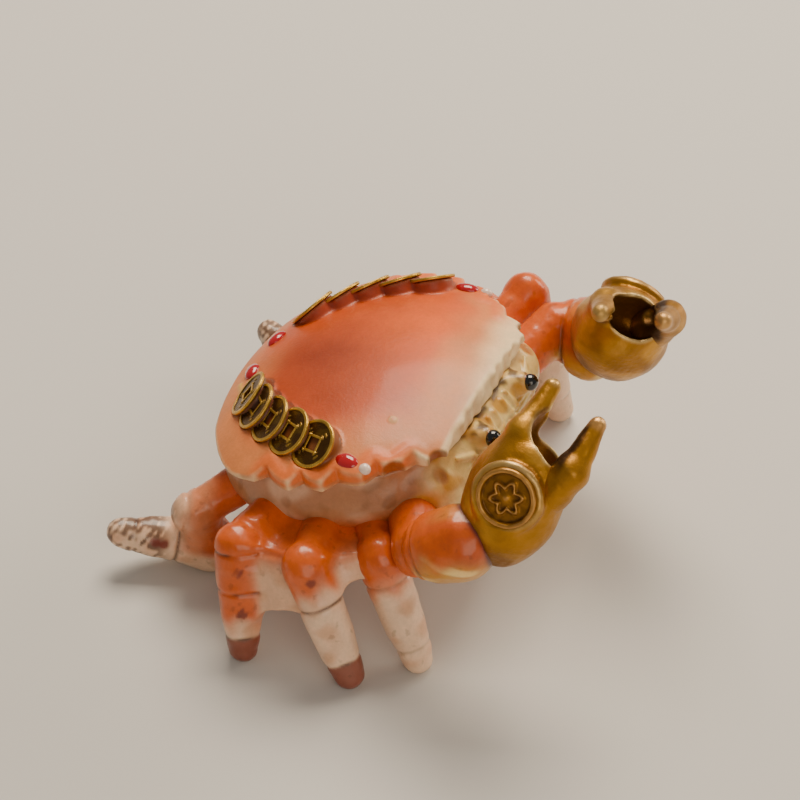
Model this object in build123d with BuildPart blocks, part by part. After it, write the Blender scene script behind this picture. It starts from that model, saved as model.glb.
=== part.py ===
from build123d import *

import math
import os

# Crab ornament: a domed shell on a cast resin body, with glued legs, gold claws, coins and bead eyes.
# Frame: +Z up, the ground at zero, the crab faces -Y and its right side is -X. Pieces of the right side
# are built first and mirrored in the YZ plane for the left side, but for the left arm and the left
# legs 1 and 4, which have places of their own. Lengths are in millimetres.

# Shell: half sizes of its margin, rise of the dome over it, height of the rim, tilt and height
SHELL_HALF_WIDTH = 27.0
SHELL_HALF_LENGTH = 22.0
SHELL_RISE = 6.9
SHELL_RIM = 1.2
SHELL_PITCH = 12.0
MARGIN_HEIGHT = 26.6
SHELL_BACK_SET = 4.5
TOOTH_DEPTH = 1.8
TOOTH_BULGE = 0.4
DOME_SPREAD_SHARE = 1.30

# Body under the shell: the recessed band, the belly below it and the bulge of the face
BAND_HEIGHT = 5.6
BAND_TOP_INSET = 2.4
BELLY_INSET = 1.2
BELLY_DEPTH = 8.5
BELLY_SECTIONS = 5
BELLY_LAST_ANGLE = 72.0
FACE_RADIUS = 7.0
FACE_END_RADIUS = 5.0

# Glue pegs and their sockets
PEG_RADIUS = 1.4
SHELL_PEG_HEIGHT = 3.0
CLAW_PEG_RADIUS = 1.8
GLUE_GAP = 0.1

# Walking legs
THIGH_RADIUS = 3.1
KNEE_RADIUS = 3.3
SHANK_RADIUS = 3.2
TOE_RADIUS = 2.25
HEEL_RADIUS = 4.0
FOOT_FLAT = 0.4
WEB_THICKNESS = 2.2
WEB_SAG = 2.6

# Arms and claws
ARM_RADIUS = 3.9
WRIST_RADIUS = 5.6
WRIST_END_RADIUS = 5.4
PALM_LENGTH = 21.0
PALM_WIDTH = 15.2
PALM_THICKNESS = 13.0
HOLLOW_WIDTH = 9.0
HOLLOW_THICKNESS = 7.0
HOLLOW_DEPTH = 7.0
FIXED_BASE_RADIUS = 4.4
FIXED_BEND_RADIUS = 2.7
LOOSE_BASE_RADIUS = 3.3
LOOSE_BEND_RADIUS = 2.3
FINGER_TIP_RADIUS = 1.0
MEDALLION_RADIUS = 4.6
MEDALLION_THICKNESS = 1.7
MEDALLION_SEAT = 1.7
MEDALLION_RISE_SHARE = 0.105
MEDALLION_TURN = 15.0
MEDALLION_RIM = 0.9
ROSETTE_RADIUS = 2.3
ROSETTE_PETAL = 0.75
ROSETTE_COUNT = 6

# Coins and drops on the shell
COIN_RADIUS = 3.85
COIN_THICKNESS = 0.5
COIN_RIM = 0.5
COIN_HOLE = 1.9
COIN_HOLE_RIM = 0.35
COIN_MARK = 0.8
COIN_TILT = 10.5
COIN_ROLL = 18.0
COIN_LIFT = 0.75
PAD_DEPTH = 2.6
COIN_COUNT = 5
COIN_FIRST_ANGLE = 22.5
COIN_STEP_ANGLE = 9.5
RELIEF_DEPTH = 0.15
DROP_LENGTH = 3.7
DROP_WIDTH = 2.5
DROP_HEIGHT = 0.8
PEARL_LENGTH = 1.9
PEARL_WIDTH = 1.7
FRONT_DROP_ANGLE = 12.0
REAR_DROP_ANGLE = 79.0
PEARL_ANGLE = 6.6

# Eyes
EYE_RADIUS = 1.3
STALK_RADIUS = 1.15

# Overrun of every cut past the face that it opens
OVERRUN = 1.0

# Margin of the shell, in shares of its half sizes: lip centre, lip corner, fold, four teeth, then the rear
LIP_SHARE = (0.0, -0.86)
LIP_CORNER_SHARE = (0.61, -0.84)
TOOTH_SHARES = [(0.735, -0.60), (0.86, -0.41), (0.955, -0.16), (0.985, 0.075), (0.95, 0.36)]
REAR_SHARES = [(0.895, 0.62), (0.71, 0.84), (0.39, 0.965), (0.0, 1.0)]
NOTCH_SHARE = 0.28
BODY_SHARES = [(0.0, -0.88), (0.60, -0.81), (0.88, -0.42), (0.97, 0.05), (0.88, 0.60), *REAR_SHARES[1:]]

# Ring of coins in shares of the shell's half sizes
RING_WIDTH_SHARE = 0.822
RING_LENGTH_SHARE = 1.44
RING_CENTRE_SHARE = -0.581

# Places of the limbs on the right side: x in shares of the half width, y of the half length behind the
# shell's centre, z of the margin's height above the ground
LEG_1_SHARES = {"root": (-0.65, -0.34, 0.71), "knee": (-0.945, -0.56, 0.68), "toe": (-1.022, -0.886, 0.0)}
LEG_2_SHARES = {"root": (-0.72, -0.09, 0.69), "knee": (-1.18, -0.15, 0.68), "toe": (-1.285, -0.53, 0.0)}
LEG_3_SHARES = {"root": (-0.72, 0.23, 0.69), "knee": (-1.165, 0.36, 0.65), "toe": (-1.335, 0.23, 0.0)}
LEG_4_SHARES = {"root": (-0.57, 0.52, 0.67), "knee": (-0.85, 0.88, 0.47), "toe": (-0.955, 1.39, 0.165)}
LEFT_LEG_1_SHARES = {"root": (-0.65, -0.34, 0.73), "knee": (-1.12, -0.53, 0.96), "toe": (-1.22, -0.76, 0.0)}
LEFT_LEG_4_SHARES = {"root": (-0.57, 0.52, 0.62), "knee": (-0.80, 0.86, 0.36), "toe": (-0.955, 1.39, 0.165)}
HEEL_SHARE = (-0.725, 0.86, 0.0)
WEB_2_DOWN_SHARES = (0.28, 0.38)
WEB_3_DOWN_SHARES = (0.50, 0.78)
PEG_START_SHARE = 0.6
ARM_ROOT_SHARE = (-0.56, -0.60, 0.79)
ELBOW_SHARE = (-0.946, -0.84, 0.81)
LEFT_ELBOW_SHARE = (-0.935, -0.86, 0.95)
WRIST_START_SHARE = (-0.985, -1.018, 0.925)
WRIST_SHARE = (-0.948, -1.152, 0.974)
PALM_SHARE = (-0.752, -1.411, 1.203)
PALM_DIRECTION = (0.40, -0.25, 0.88)
PALM_SIDE_DIRECTION = (-0.865, 0.21, 0.453)
FIXED_BASE_SHARES = (-0.18, 0.15)
FIXED_BEND_SHARES = (-0.20, 0.45)
LOOSE_BASE_SHARES = (0.29, 0.20)
LOOSE_BEND_SHARES = (0.41, 0.42)
FINGER_TIP_SHARE = (-0.326, -1.459, 1.69)
CLAW_TIP_SHARE = (-0.463, -1.841, 1.639)
FACE_END_SHARE = (-0.52, -0.70, 0.90)
EYE_SHARE = (-0.256, -1.005, 1.112)
STALK_ROOT_SHARE = (-0.225, -0.78, 1.06)


def place(shares, lift=0.0):
    """A point given in shares of the shell's sizes, lifted by a length of its own."""
    return Vector(
        shares[0] * SHELL_HALF_WIDTH,
        SHELL_BACK_SET + shares[1] * SHELL_HALF_LENGTH,
        shares[2] * MARGIN_HEIGHT + lift,
    )


def flip(point):
    """The point's or direction's twin on the left side."""
    return Vector(-point.X, point.Y, point.Z)


def margin_plane():
    """The plane of the shell's margin, its front edge higher than its rear."""
    pitch = math.radians(SHELL_PITCH)
    return Plane(
        origin=(0, SHELL_BACK_SET, MARGIN_HEIGHT),
        x_dir=(1, 0, 0),
        z_dir=(0, math.sin(pitch), math.cos(pitch)),
    )


margin = margin_plane()
palm_centre = place(PALM_SHARE)
palm_plane = Plane(
    origin=palm_centre,
    x_dir=Vector(PALM_SIDE_DIRECTION),
    z_dir=Vector(PALM_DIRECTION),
)


def on_palm(x, y, z):
    """A point of the palm: X out to the medallion, Y to the front, Z from wrist to fingers."""
    return palm_plane.from_local_coords(Vector(x, y, z))


def dome_half_height():
    """Half height of the ellipsoid whose cap is the dome."""
    return (SHELL_RISE - SHELL_RIM) / (1 - math.sqrt(1 - 1 / DOME_SPREAD_SHARE**2))


def ring_plane(angle, lift=0.0):
    """A plane on the dome at the right half of the coin ring: X to the middle, Y to the rear, Z outwards."""
    half_x = SHELL_HALF_WIDTH * DOME_SPREAD_SHARE
    half_y = SHELL_HALF_LENGTH * DOME_SPREAD_SHARE
    half_z = dome_half_height()
    turn = math.radians(angle)
    x = -RING_WIDTH_SHARE * SHELL_HALF_WIDTH * math.cos(turn)
    y = (RING_CENTRE_SHARE + RING_LENGTH_SHARE * math.sin(turn)) * SHELL_HALF_LENGTH
    rise = half_z * math.sqrt(1 - (x / half_x) ** 2 - (y / half_y) ** 2)
    normal = Vector(x / half_x**2, y / half_y**2, rise / half_z**2).normalized()
    point = Vector(x, y, SHELL_RISE - half_z + rise) + normal * lift
    along = Vector(
        RING_WIDTH_SHARE * SHELL_HALF_WIDTH * math.sin(turn),
        RING_LENGTH_SHARE * SHELL_HALF_LENGTH * math.cos(turn),
        0,
    )
    world_normal = margin.from_local_coords(normal) - margin.origin
    world_along = margin.from_local_coords(along) - margin.origin
    return Plane(
        origin=margin.from_local_coords(point),
        x_dir=world_along.cross(world_normal),
        z_dir=world_normal,
    )


def ellipsoid(plane, half_x, half_y, half_z):
    """A round body with three half sizes, centred on a plane, its poles to the sides and its seam below."""
    side_on = Plane(origin=(0, 0, 0), x_dir=(0, 0, -1), z_dir=(1, 0, 0))
    ball = Solid.make_sphere(1, side_on, angle1=-90, angle2=90)
    return plane.location * ball.scale((half_x, half_y, half_z))


def add_spindle(start, end, start_radius, middle_radius, end_radius):
    """Adds a round limb segment that swells between its two domed ends."""
    length = (end - start).length
    axis = (end - start).normalized()
    frame = Plane(origin=start, x_dir=axis, z_dir=axis.cross(Vector(0, 0, 1)))
    diagonal = math.sqrt(1 / 2)
    with BuildSketch(frame) as profile:
        with BuildLine():
            ThreePointArc(
                (-start_radius, 0),
                (-start_radius * diagonal, start_radius * diagonal),
                (0, start_radius),
            )
            Spline(
                (0, start_radius),
                (length / 2, middle_radius),
                (length, end_radius),
                tangents=[(1, 0), (1, 0)],
            )
            ThreePointArc(
                (length, end_radius),
                (length + end_radius * diagonal, end_radius * diagonal),
                (length + end_radius, 0),
            )
            Line((length + end_radius, 0), (-start_radius, 0))
        make_face()
    revolve(profile.sketch, axis=Axis(start, axis))


def add_peg(outside, inside, radius, end_gap=0.0, mode=Mode.ADD):
    """Adds or cuts a round peg from one point to another."""
    with BuildSketch(Plane(origin=outside, z_dir=inside - outside)) as section:
        Circle(radius)
    extrude(section.sketch, amount=(inside - outside).length + end_gap, mode=mode)


def add_finger(base, bend, tip, base_radius, bend_radius):
    """Adds a claw finger of two tapering segments."""
    add_spindle(base, bend, base_radius, (base_radius + bend_radius) / 2, bend_radius)
    add_spindle(
        bend,
        tip,
        bend_radius + GLUE_GAP,
        (bend_radius + FINGER_TIP_RADIUS) / 2,
        FINGER_TIP_RADIUS,
    )


def mirrored(solid):
    """The left twin of a right piece."""
    with BuildPart() as twin:
        mirror(solid, about=Plane.YZ)
    return twin.part


def body_section(depth, inset, narrowing=1.0):
    """A level section of the body: the shell's outline without its teeth, set in and narrowed."""
    half_x = (SHELL_HALF_WIDTH - inset) * narrowing
    half_y = (SHELL_HALF_LENGTH - inset) * narrowing
    points = [(x * half_x, y * half_y) for x, y in BODY_SHARES]
    with BuildSketch(margin.offset(-depth)) as section:
        with BuildLine():
            Spline(*points, tangents=[(1, 0), (-1, 0)])
            mirror(about=Plane.YZ)
        make_face()
    return section.sketch


def build_body():
    """The cast body without its sockets: band under the margin, belly, and the bulge of the face."""
    sections = [body_section(0, BAND_TOP_INSET)]
    for index in range(BELLY_SECTIONS):
        turn = math.radians(BELLY_LAST_ANGLE) * index / (BELLY_SECTIONS - 1)
        depth = BAND_HEIGHT + BELLY_DEPTH * math.sin(turn)
        sections.append(body_section(depth, BELLY_INSET, math.cos(turn)))
    with BuildPart() as body:
        loft(sections)
        face_end = place(FACE_END_SHARE)
        add_spindle(face_end, flip(face_end), FACE_END_RADIUS, FACE_RADIUS, FACE_END_RADIUS)
        split(bisect_by=margin, keep=Keep.BOTTOM)
    return body.part


def limb_places(shares):
    """Root, knee and toe of a leg, the toe just above the ground."""
    return (
        place(shares["root"]),
        place(shares["knee"]),
        place(shares["toe"], TOE_RADIUS - FOOT_FLAT),
    )


def peg_start(root, knee):
    """The point inside a thigh from which its peg runs to the root."""
    return root + (knee - root) * PEG_START_SHARE


def add_web(shares, neighbour_shares, down_shares):
    """Adds the thin web from this leg to the leg in front of it, between thighs and shanks."""
    root, knee, toe = limb_places(shares)
    front_root, front_knee, front_toe = limb_places(neighbour_shares)
    across = front_knee - knee
    web_plane = Plane(origin=knee, x_dir=across, z_dir=across.cross(toe - knee))
    front_low = front_knee + (front_toe - front_knee) * down_shares[0]
    low = knee + (toe - knee) * down_shares[1]
    corners = []
    for point in (knee, front_knee, front_low, low):
        local = web_plane.to_local_coords(point)
        corners.append((local.X, local.Y))
    with BuildSketch(web_plane) as web:
        with BuildLine():
            Polyline(*corners[:3])
            SagittaArc(corners[2], corners[3], WEB_SAG)
            Line(corners[3], corners[0])
        make_face()
    extrude(web.sketch, amount=WEB_THICKNESS / 2, both=True)
    hip_plane = Plane(origin=knee, x_dir=across, z_dir=across.cross(root - knee))
    hip_corners = [hip_plane.to_local_coords(point) for point in (knee, front_knee, front_root, root)]
    with BuildSketch(hip_plane) as hip_web:
        with BuildLine():
            Polyline(*[(corner.X, corner.Y) for corner in hip_corners], close=True)
        make_face()
    extrude(hip_web.sketch, amount=WEB_THICKNESS / 2, both=True)


def build_leg(shares, front_shares=None, down_shares=None, front_leg=None, heeled=False):
    """One walking leg of the right side, cut to the body, its peg, and the web to the leg in front."""
    root, knee, toe = limb_places(shares)
    with BuildPart() as leg:
        add_spindle(root, knee, THIGH_RADIUS, THIGH_RADIUS, KNEE_RADIUS)
        if heeled:
            heel = place(HEEL_SHARE, HEEL_RADIUS - FOOT_FLAT)
            add_spindle(knee, heel, KNEE_RADIUS + GLUE_GAP, HEEL_RADIUS, HEEL_RADIUS)
            add_spindle(heel, toe, HEEL_RADIUS + GLUE_GAP, SHANK_RADIUS + GLUE_GAP, TOE_RADIUS)
        else:
            add_spindle(knee, toe, KNEE_RADIUS + GLUE_GAP, SHANK_RADIUS, TOE_RADIUS)
        if front_leg is not None:
            add_web(shares, front_shares, down_shares)
            add(front_leg, mode=Mode.SUBTRACT)
        split(bisect_by=Plane.XY, keep=Keep.TOP)
        add(build_body(), mode=Mode.SUBTRACT)
        add_peg(peg_start(root, knee), root, PEG_RADIUS)
    return leg.part


def build_legs(leg_1_shares, leg_4_shares):
    """The four legs of one side, as they stand on the right."""
    leg_1 = build_leg(leg_1_shares)
    leg_2 = build_leg(LEG_2_SHARES, leg_1_shares, WEB_2_DOWN_SHARES, leg_1)
    leg_3 = build_leg(LEG_3_SHARES, LEG_2_SHARES, WEB_3_DOWN_SHARES, leg_2)
    leg_4 = build_leg(leg_4_shares, heeled=True)
    return [leg_1, leg_2, leg_3, leg_4]


def build_arm(elbow_share, leg, claw, medallion):
    """The upper arm and wrist of a claw as on the right, cut to the palm, with the socket of its peg."""
    root, elbow = place(ARM_ROOT_SHARE), place(elbow_share)
    with BuildPart() as arm:
        add_spindle(root, elbow, ARM_RADIUS, ARM_RADIUS, ARM_RADIUS)
        add_spindle(
            place(WRIST_START_SHARE),
            place(WRIST_SHARE),
            WRIST_END_RADIUS,
            WRIST_RADIUS,
            WRIST_END_RADIUS,
        )
        add(build_body(), mode=Mode.SUBTRACT)
        add(leg, mode=Mode.SUBTRACT)
        add(claw, mode=Mode.SUBTRACT)
        add(medallion, mode=Mode.SUBTRACT)
        add_peg(peg_start(root, elbow), root, CLAW_PEG_RADIUS)
        add_peg(*claw_peg_ends(), CLAW_PEG_RADIUS + GLUE_GAP, GLUE_GAP, Mode.SUBTRACT)
    return arm.part


def claw_peg_ends():
    """Start of the claw's peg in the palm and its end in the wrist."""
    return on_palm(0, 0, -PALM_LENGTH / 4), place(WRIST_SHARE)


def medallion_plane():
    """The seat of the medallion under the palm's outer face, turned a little to the front."""
    turn = math.radians(MEDALLION_TURN)
    depth = PALM_THICKNESS / 2 - MEDALLION_SEAT
    rise = PALM_LENGTH * MEDALLION_RISE_SHARE
    origin = on_palm(depth * math.cos(turn), depth * math.sin(turn), rise)
    return Plane(
        origin=origin,
        x_dir=palm_plane.z_dir,
        z_dir=origin - on_palm(0, 0, rise),
    )


def finger_joints(base_shares, bend_shares):
    """Base and bend of a finger from shares of the palm's width and length."""
    return (
        on_palm(0, PALM_WIDTH * base_shares[0], PALM_LENGTH * base_shares[1]),
        on_palm(0, PALM_WIDTH * bend_shares[0], PALM_LENGTH * bend_shares[1]),
    )


def build_claw():
    """The gold palm with its fixed finger, the hollow at its mouth and the seat of its medallion."""
    with BuildPart() as claw:
        add(ellipsoid(palm_plane, PALM_THICKNESS / 2, PALM_WIDTH / 2, PALM_LENGTH / 2))
        hollow = Plane(
            origin=on_palm(0, PALM_WIDTH / 10, PALM_LENGTH / 2),
            x_dir=palm_plane.x_dir,
            z_dir=palm_plane.z_dir,
        )
        add(
            ellipsoid(hollow, HOLLOW_THICKNESS / 2, HOLLOW_WIDTH / 2, HOLLOW_DEPTH),
            mode=Mode.SUBTRACT,
        )
        add_finger(
            *finger_joints(FIXED_BASE_SHARES, FIXED_BEND_SHARES),
            place(FINGER_TIP_SHARE),
            FIXED_BASE_RADIUS,
            FIXED_BEND_RADIUS,
        )
        with BuildSketch(medallion_plane().offset(-GLUE_GAP)) as seat:
            Circle(MEDALLION_RADIUS + GLUE_GAP)
        extrude(seat.sketch, amount=PALM_THICKNESS, mode=Mode.SUBTRACT)
    return claw.part


def build_claw_finger(claw):
    """The loose finger of the claw, seated in the hollow of the palm."""
    with BuildPart() as finger:
        add_finger(
            *finger_joints(LOOSE_BASE_SHARES, LOOSE_BEND_SHARES),
            place(CLAW_TIP_SHARE),
            LOOSE_BASE_RADIUS,
            LOOSE_BEND_RADIUS,
        )
        add(claw, mode=Mode.SUBTRACT)
    return finger.part


def build_medallion():
    """The round medal on the palm: a raised rim round a field with a plain rosette."""
    seat = medallion_plane()
    face = seat.offset(MEDALLION_THICKNESS)
    floor = face.offset(-2 * RELIEF_DEPTH)
    with BuildPart() as medallion:
        with BuildSketch(seat):
            Circle(MEDALLION_RADIUS)
        extrude(amount=MEDALLION_THICKNESS)
        with BuildSketch(face):
            Circle(MEDALLION_RADIUS - MEDALLION_RIM)
        extrude(amount=-2 * RELIEF_DEPTH, mode=Mode.SUBTRACT)
        with BuildSketch(floor):
            Circle(ROSETTE_PETAL)
            with PolarLocations(ROSETTE_RADIUS, ROSETTE_COUNT):
                Circle(ROSETTE_PETAL)
        extrude(amount=RELIEF_DEPTH)
    return medallion.part


def coin_planes():
    """Undersides of the coins of the right row, front to back, each rolled out and over the one in front."""
    planes = []
    for index in range(COIN_COUNT):
        seat = ring_plane(COIN_FIRST_ANGLE + index * COIN_STEP_ANGLE, COIN_LIFT)
        planes.append(Plane(seat.location * Rotation(0, -COIN_ROLL, 0) * Rotation(-COIN_TILT, 0, 0)))
    return planes


def build_coin(plane):
    """A coin with a raised rim, a square hole with its own rim, and four plain marks."""
    face = plane.offset(COIN_THICKNESS)
    floor = face.offset(-RELIEF_DEPTH)
    hole_frame = COIN_HOLE + 2 * COIN_HOLE_RIM
    mark_radius = (COIN_RADIUS - COIN_RIM + hole_frame / 2) / 2
    with BuildPart() as coin:
        with BuildSketch(plane):
            Circle(COIN_RADIUS)
        extrude(amount=COIN_THICKNESS)
        with BuildSketch(face):
            Circle(COIN_RADIUS - COIN_RIM)
            Rectangle(hole_frame, hole_frame, mode=Mode.SUBTRACT)
        extrude(amount=-RELIEF_DEPTH, mode=Mode.SUBTRACT)
        with BuildSketch(floor):
            with PolarLocations(mark_radius, 4):
                Rectangle(COIN_MARK, COIN_MARK, rotation=45)
        extrude(amount=RELIEF_DEPTH)
        with BuildSketch(face):
            Rectangle(COIN_HOLE, COIN_HOLE)
        extrude(amount=-COIN_THICKNESS, mode=Mode.SUBTRACT)
    return coin.part


def drop_body(angle, length, width, gap=0.0):
    """The rounded body of an enamel drop or pearl on the ring, with an even gap round it."""
    return ellipsoid(ring_plane(angle), width / 2 + gap, length / 2 + gap, DROP_HEIGHT + gap)


DROPS = {
    "red_drop_right_front": (FRONT_DROP_ANGLE, DROP_LENGTH, DROP_WIDTH),
    "red_drop_right_rear": (REAR_DROP_ANGLE, DROP_LENGTH, DROP_WIDTH),
    "pearl_tip_right": (PEARL_ANGLE, PEARL_LENGTH, PEARL_WIDTH),
}


def build_drop(angle, length, width):
    """One enamel drop or pearl."""
    with BuildPart() as drop:
        add(drop_body(angle, length, width))
    return drop.part


def shell_peg_places():
    """Centres of the two pegs between body and shell, on the margin plane."""
    return [(side * SHELL_HALF_WIDTH / 2, 0) for side in (-1, 1)]


def build_carapace():
    """The domed shell with its lip, folds and teeth, the pads and beds of the coins, and the seats."""

    def at(shares):
        return shares[0] * SHELL_HALF_WIDTH, shares[1] * SHELL_HALF_LENGTH

    dome_plane = margin.offset(SHELL_RISE - dome_half_height())
    with BuildPart() as carapace:
        with BuildSketch(margin) as outline:
            with BuildLine():
                Spline(at(LIP_SHARE), at(LIP_CORNER_SHARE), tangents=[(1, 0), (1, 0)])
                tip = at(LIP_CORNER_SHARE)
                for shares in TOOTH_SHARES:
                    next_tip = at(shares)
                    notch_x = next_tip[0] + (tip[0] - next_tip[0]) * NOTCH_SHARE - TOOTH_DEPTH
                    notch_y = next_tip[1] + (tip[1] - next_tip[1]) * NOTCH_SHARE
                    SagittaArc(tip, (notch_x, notch_y), TOOTH_BULGE)
                    Line((notch_x, notch_y), next_tip)
                    tip = next_tip
                Spline(tip, *[at(shares) for shares in REAR_SHARES], tangents=[(-0.1, 1), (-1, 0)])
                mirror(about=Plane.YZ)
            make_face()
        extrude(amount=SHELL_RISE + OVERRUN)
        add(
            ellipsoid(
                dome_plane,
                SHELL_HALF_WIDTH * DOME_SPREAD_SHARE,
                SHELL_HALF_LENGTH * DOME_SPREAD_SHARE,
                dome_half_height(),
            ),
            mode=Mode.INTERSECT,
        )
        for plane in coin_planes():
            with BuildSketch(plane.offset(-GLUE_GAP)) as pad:
                Circle(COIN_RADIUS - COIN_RIM)
            extrude(pad.sketch, amount=-PAD_DEPTH)
        for plane in coin_planes():
            with BuildSketch(plane.offset(-GLUE_GAP)) as bed:
                Circle(COIN_RADIUS + GLUE_GAP)
            extrude(bed.sketch, amount=SHELL_RISE, mode=Mode.SUBTRACT)
        for angle, length, width in DROPS.values():
            add(drop_body(angle, length, width, GLUE_GAP), mode=Mode.SUBTRACT)
        split(bisect_by=margin, keep=Keep.TOP)
        split(bisect_by=Plane.YZ, keep=Keep.BOTTOM)
        mirror(about=Plane.YZ)
        with BuildSketch(margin) as sockets:
            with Locations(*shell_peg_places()):
                Circle(PEG_RADIUS + GLUE_GAP)
        extrude(sockets.sketch, amount=SHELL_PEG_HEIGHT + GLUE_GAP, mode=Mode.SUBTRACT)
    return carapace.part


def build_eye_and_stalk():
    """The right bead eye and the stalk that carries it on the face."""
    eye_centre = place(EYE_SHARE)
    with BuildPart() as eye:
        add(ellipsoid(Plane(origin=eye_centre), EYE_RADIUS, EYE_RADIUS, EYE_RADIUS))
    with BuildPart() as stalk:
        add_peg(place(STALK_ROOT_SHARE), eye_centre, STALK_RADIUS)
        add(build_body(), mode=Mode.SUBTRACT)
        add(eye.part, mode=Mode.SUBTRACT)
    return eye.part, stalk.part


def limb_pegs():
    """Start, end and radius of the peg of every limb on both sides."""
    root = place(ARM_ROOT_SHARE)
    right_start = peg_start(root, place(ELBOW_SHARE))
    left_start = peg_start(root, place(LEFT_ELBOW_SHARE))
    pegs = [(right_start, root, CLAW_PEG_RADIUS), (flip(left_start), flip(root), CLAW_PEG_RADIUS)]
    for shares in (LEG_1_SHARES, LEG_2_SHARES, LEG_3_SHARES, LEG_4_SHARES):
        root, knee, _ = limb_places(shares)
        pegs.append((peg_start(root, knee), root, PEG_RADIUS))
    for shares in (LEFT_LEG_1_SHARES, LEG_2_SHARES, LEG_3_SHARES, LEFT_LEG_4_SHARES):
        root, knee, _ = limb_places(shares)
        pegs.append((flip(peg_start(root, knee)), flip(root), PEG_RADIUS))
    return pegs


def build_belly():
    """The finished body: its pegs for the shell and the sockets of every limb on both sides."""
    with BuildPart() as belly:
        add(build_body())
        with BuildSketch(margin) as shell_pegs:
            with Locations(*shell_peg_places()):
                Circle(PEG_RADIUS)
        extrude(shell_pegs.sketch, amount=SHELL_PEG_HEIGHT)
        for outside, inside, radius in limb_pegs():
            add_peg(outside, inside, radius + GLUE_GAP, GLUE_GAP, Mode.SUBTRACT)
    return belly.part


def build_pieces():
    """Every piece of the ornament by its name."""
    pieces = {"carapace": build_carapace(), "belly_casting": build_belly()}

    for number, leg in enumerate(build_legs(LEG_1_SHARES, LEG_4_SHARES), start=1):
        pieces[f"right_leg_{number}"] = leg

    claw_blank = build_claw()
    medallion = build_medallion()
    pieces["right_arm"] = build_arm(
        ELBOW_SHARE, pieces["right_leg_1"], claw_blank, medallion
    )
    pieces["right_claw_finger"] = build_claw_finger(claw_blank)
    pieces["right_claw_medallion"] = medallion
    with BuildPart() as claw:
        add(claw_blank)
        add_peg(*claw_peg_ends(), CLAW_PEG_RADIUS)
    pieces["right_claw"] = claw.part

    for index, plane in enumerate(coin_planes(), start=1):
        pieces[f"coin_right_{index}"] = build_coin(plane)
    for name, sizes in DROPS.items():
        pieces[name] = build_drop(*sizes)
    pieces["right_eye"], pieces["right_eye_stalk"] = build_eye_and_stalk()

    for name in list(pieces):
        if "right" in name:
            pieces[name.replace("right", "left")] = mirrored(pieces[name])
    left_legs = build_legs(LEFT_LEG_1_SHARES, LEFT_LEG_4_SHARES)
    for number, leg in enumerate(left_legs, start=1):
        pieces[f"left_leg_{number}"] = mirrored(leg)
    pieces["left_arm"] = mirrored(
        build_arm(LEFT_ELBOW_SHARE, left_legs[0], claw_blank, medallion)
    )
    return pieces


if __name__ == "__main__":
    os.makedirs("parts", exist_ok=True)
    for piece_name, piece in build_pieces().items():
        piece.label = piece_name
        export_step(piece, f"parts/{piece_name}.step")
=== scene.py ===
import math

import bpy
import numpy as np
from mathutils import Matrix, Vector


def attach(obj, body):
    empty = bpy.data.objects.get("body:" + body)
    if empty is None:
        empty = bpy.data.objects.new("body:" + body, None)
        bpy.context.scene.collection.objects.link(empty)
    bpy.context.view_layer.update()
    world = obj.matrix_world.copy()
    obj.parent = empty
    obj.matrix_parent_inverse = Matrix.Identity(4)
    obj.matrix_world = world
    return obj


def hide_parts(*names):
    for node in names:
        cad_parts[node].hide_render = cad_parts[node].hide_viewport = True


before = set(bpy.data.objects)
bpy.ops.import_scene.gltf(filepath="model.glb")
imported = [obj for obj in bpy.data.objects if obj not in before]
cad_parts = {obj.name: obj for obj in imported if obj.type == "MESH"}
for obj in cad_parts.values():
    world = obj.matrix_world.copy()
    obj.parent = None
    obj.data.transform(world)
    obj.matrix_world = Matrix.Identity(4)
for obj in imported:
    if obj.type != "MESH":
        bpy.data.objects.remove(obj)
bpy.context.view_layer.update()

# The pieces' lengths are in millimetres, in the frame of the solids, and become metres when a mesh is made.
# The stage, the camera and the depths in the materials are in metres
MM = 0.001
HALF_WIDTH = 27.0
HALF_LENGTH = 22.0
BACK_SET = 4.5
MARGIN_HEIGHT = 26.6
PITCH = math.radians(12.0)
SHELL_RISE = 6.9
SHELL_RIM = 1.2
DOME_SPREAD = 1.30

LIP = (0.0, -0.86)
LIP_CORNER = (0.61, -0.84)
TEETH = [(0.735, -0.60), (0.86, -0.41), (0.955, -0.16), (0.985, 0.075), (0.95, 0.36)]
REAR = [(0.895, 0.62), (0.71, 0.84), (0.39, 0.965), (0.0, 1.0)]
BODY_OUTLINE = [(0.0, -0.88), (0.60, -0.81), (0.88, -0.42), (0.97, 0.05), (0.88, 0.60)] + REAR[1:]


def place(x_share, y_share, z_share, lift=0.0):
    """A point in millimetres from shares of the shell's half sizes and the margin's height."""
    return np.array(
        [x_share * HALF_WIDTH, BACK_SET + y_share * HALF_LENGTH, z_share * MARGIN_HEIGHT + lift]
    )


MARGIN_ORIGIN = np.array([0.0, BACK_SET, MARGIN_HEIGHT])
MARGIN_AXES = np.array(
    [
        [1.0, 0.0, 0.0],
        [0.0, math.cos(PITCH), -math.sin(PITCH)],
        [0.0, math.sin(PITCH), math.cos(PITCH)],
    ]
)


def to_margin(points):
    """World points in the frame of the shell's margin plane."""
    return (points - MARGIN_ORIGIN) @ MARGIN_AXES.T


def from_margin(points):
    """Margin frame points in the world frame."""
    return points @ MARGIN_AXES + MARGIN_ORIGIN


def unit(vector):
    """The vector at unit length."""
    vector = np.asarray(vector, float)
    return vector / np.linalg.norm(vector)


def smooth_step(low, high, values):
    """Zero below low, one above high, and a smooth rise between them."""
    share = np.clip((values - low) / (high - low), 0.0, 1.0)
    return share * share * (3 - 2 * share)


def blend_min(a, b, reach):
    """Union of two fields with a fillet of the given reach."""
    share = np.clip(0.5 + 0.5 * (b - a) / reach, 0.0, 1.0)
    return b + (a - b) * share - reach * share * (1 - share)


def blend_max(a, b, reach):
    """Intersection of two fields with a rounded edge of the given reach."""
    return -blend_min(-a, -b, reach)


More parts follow.
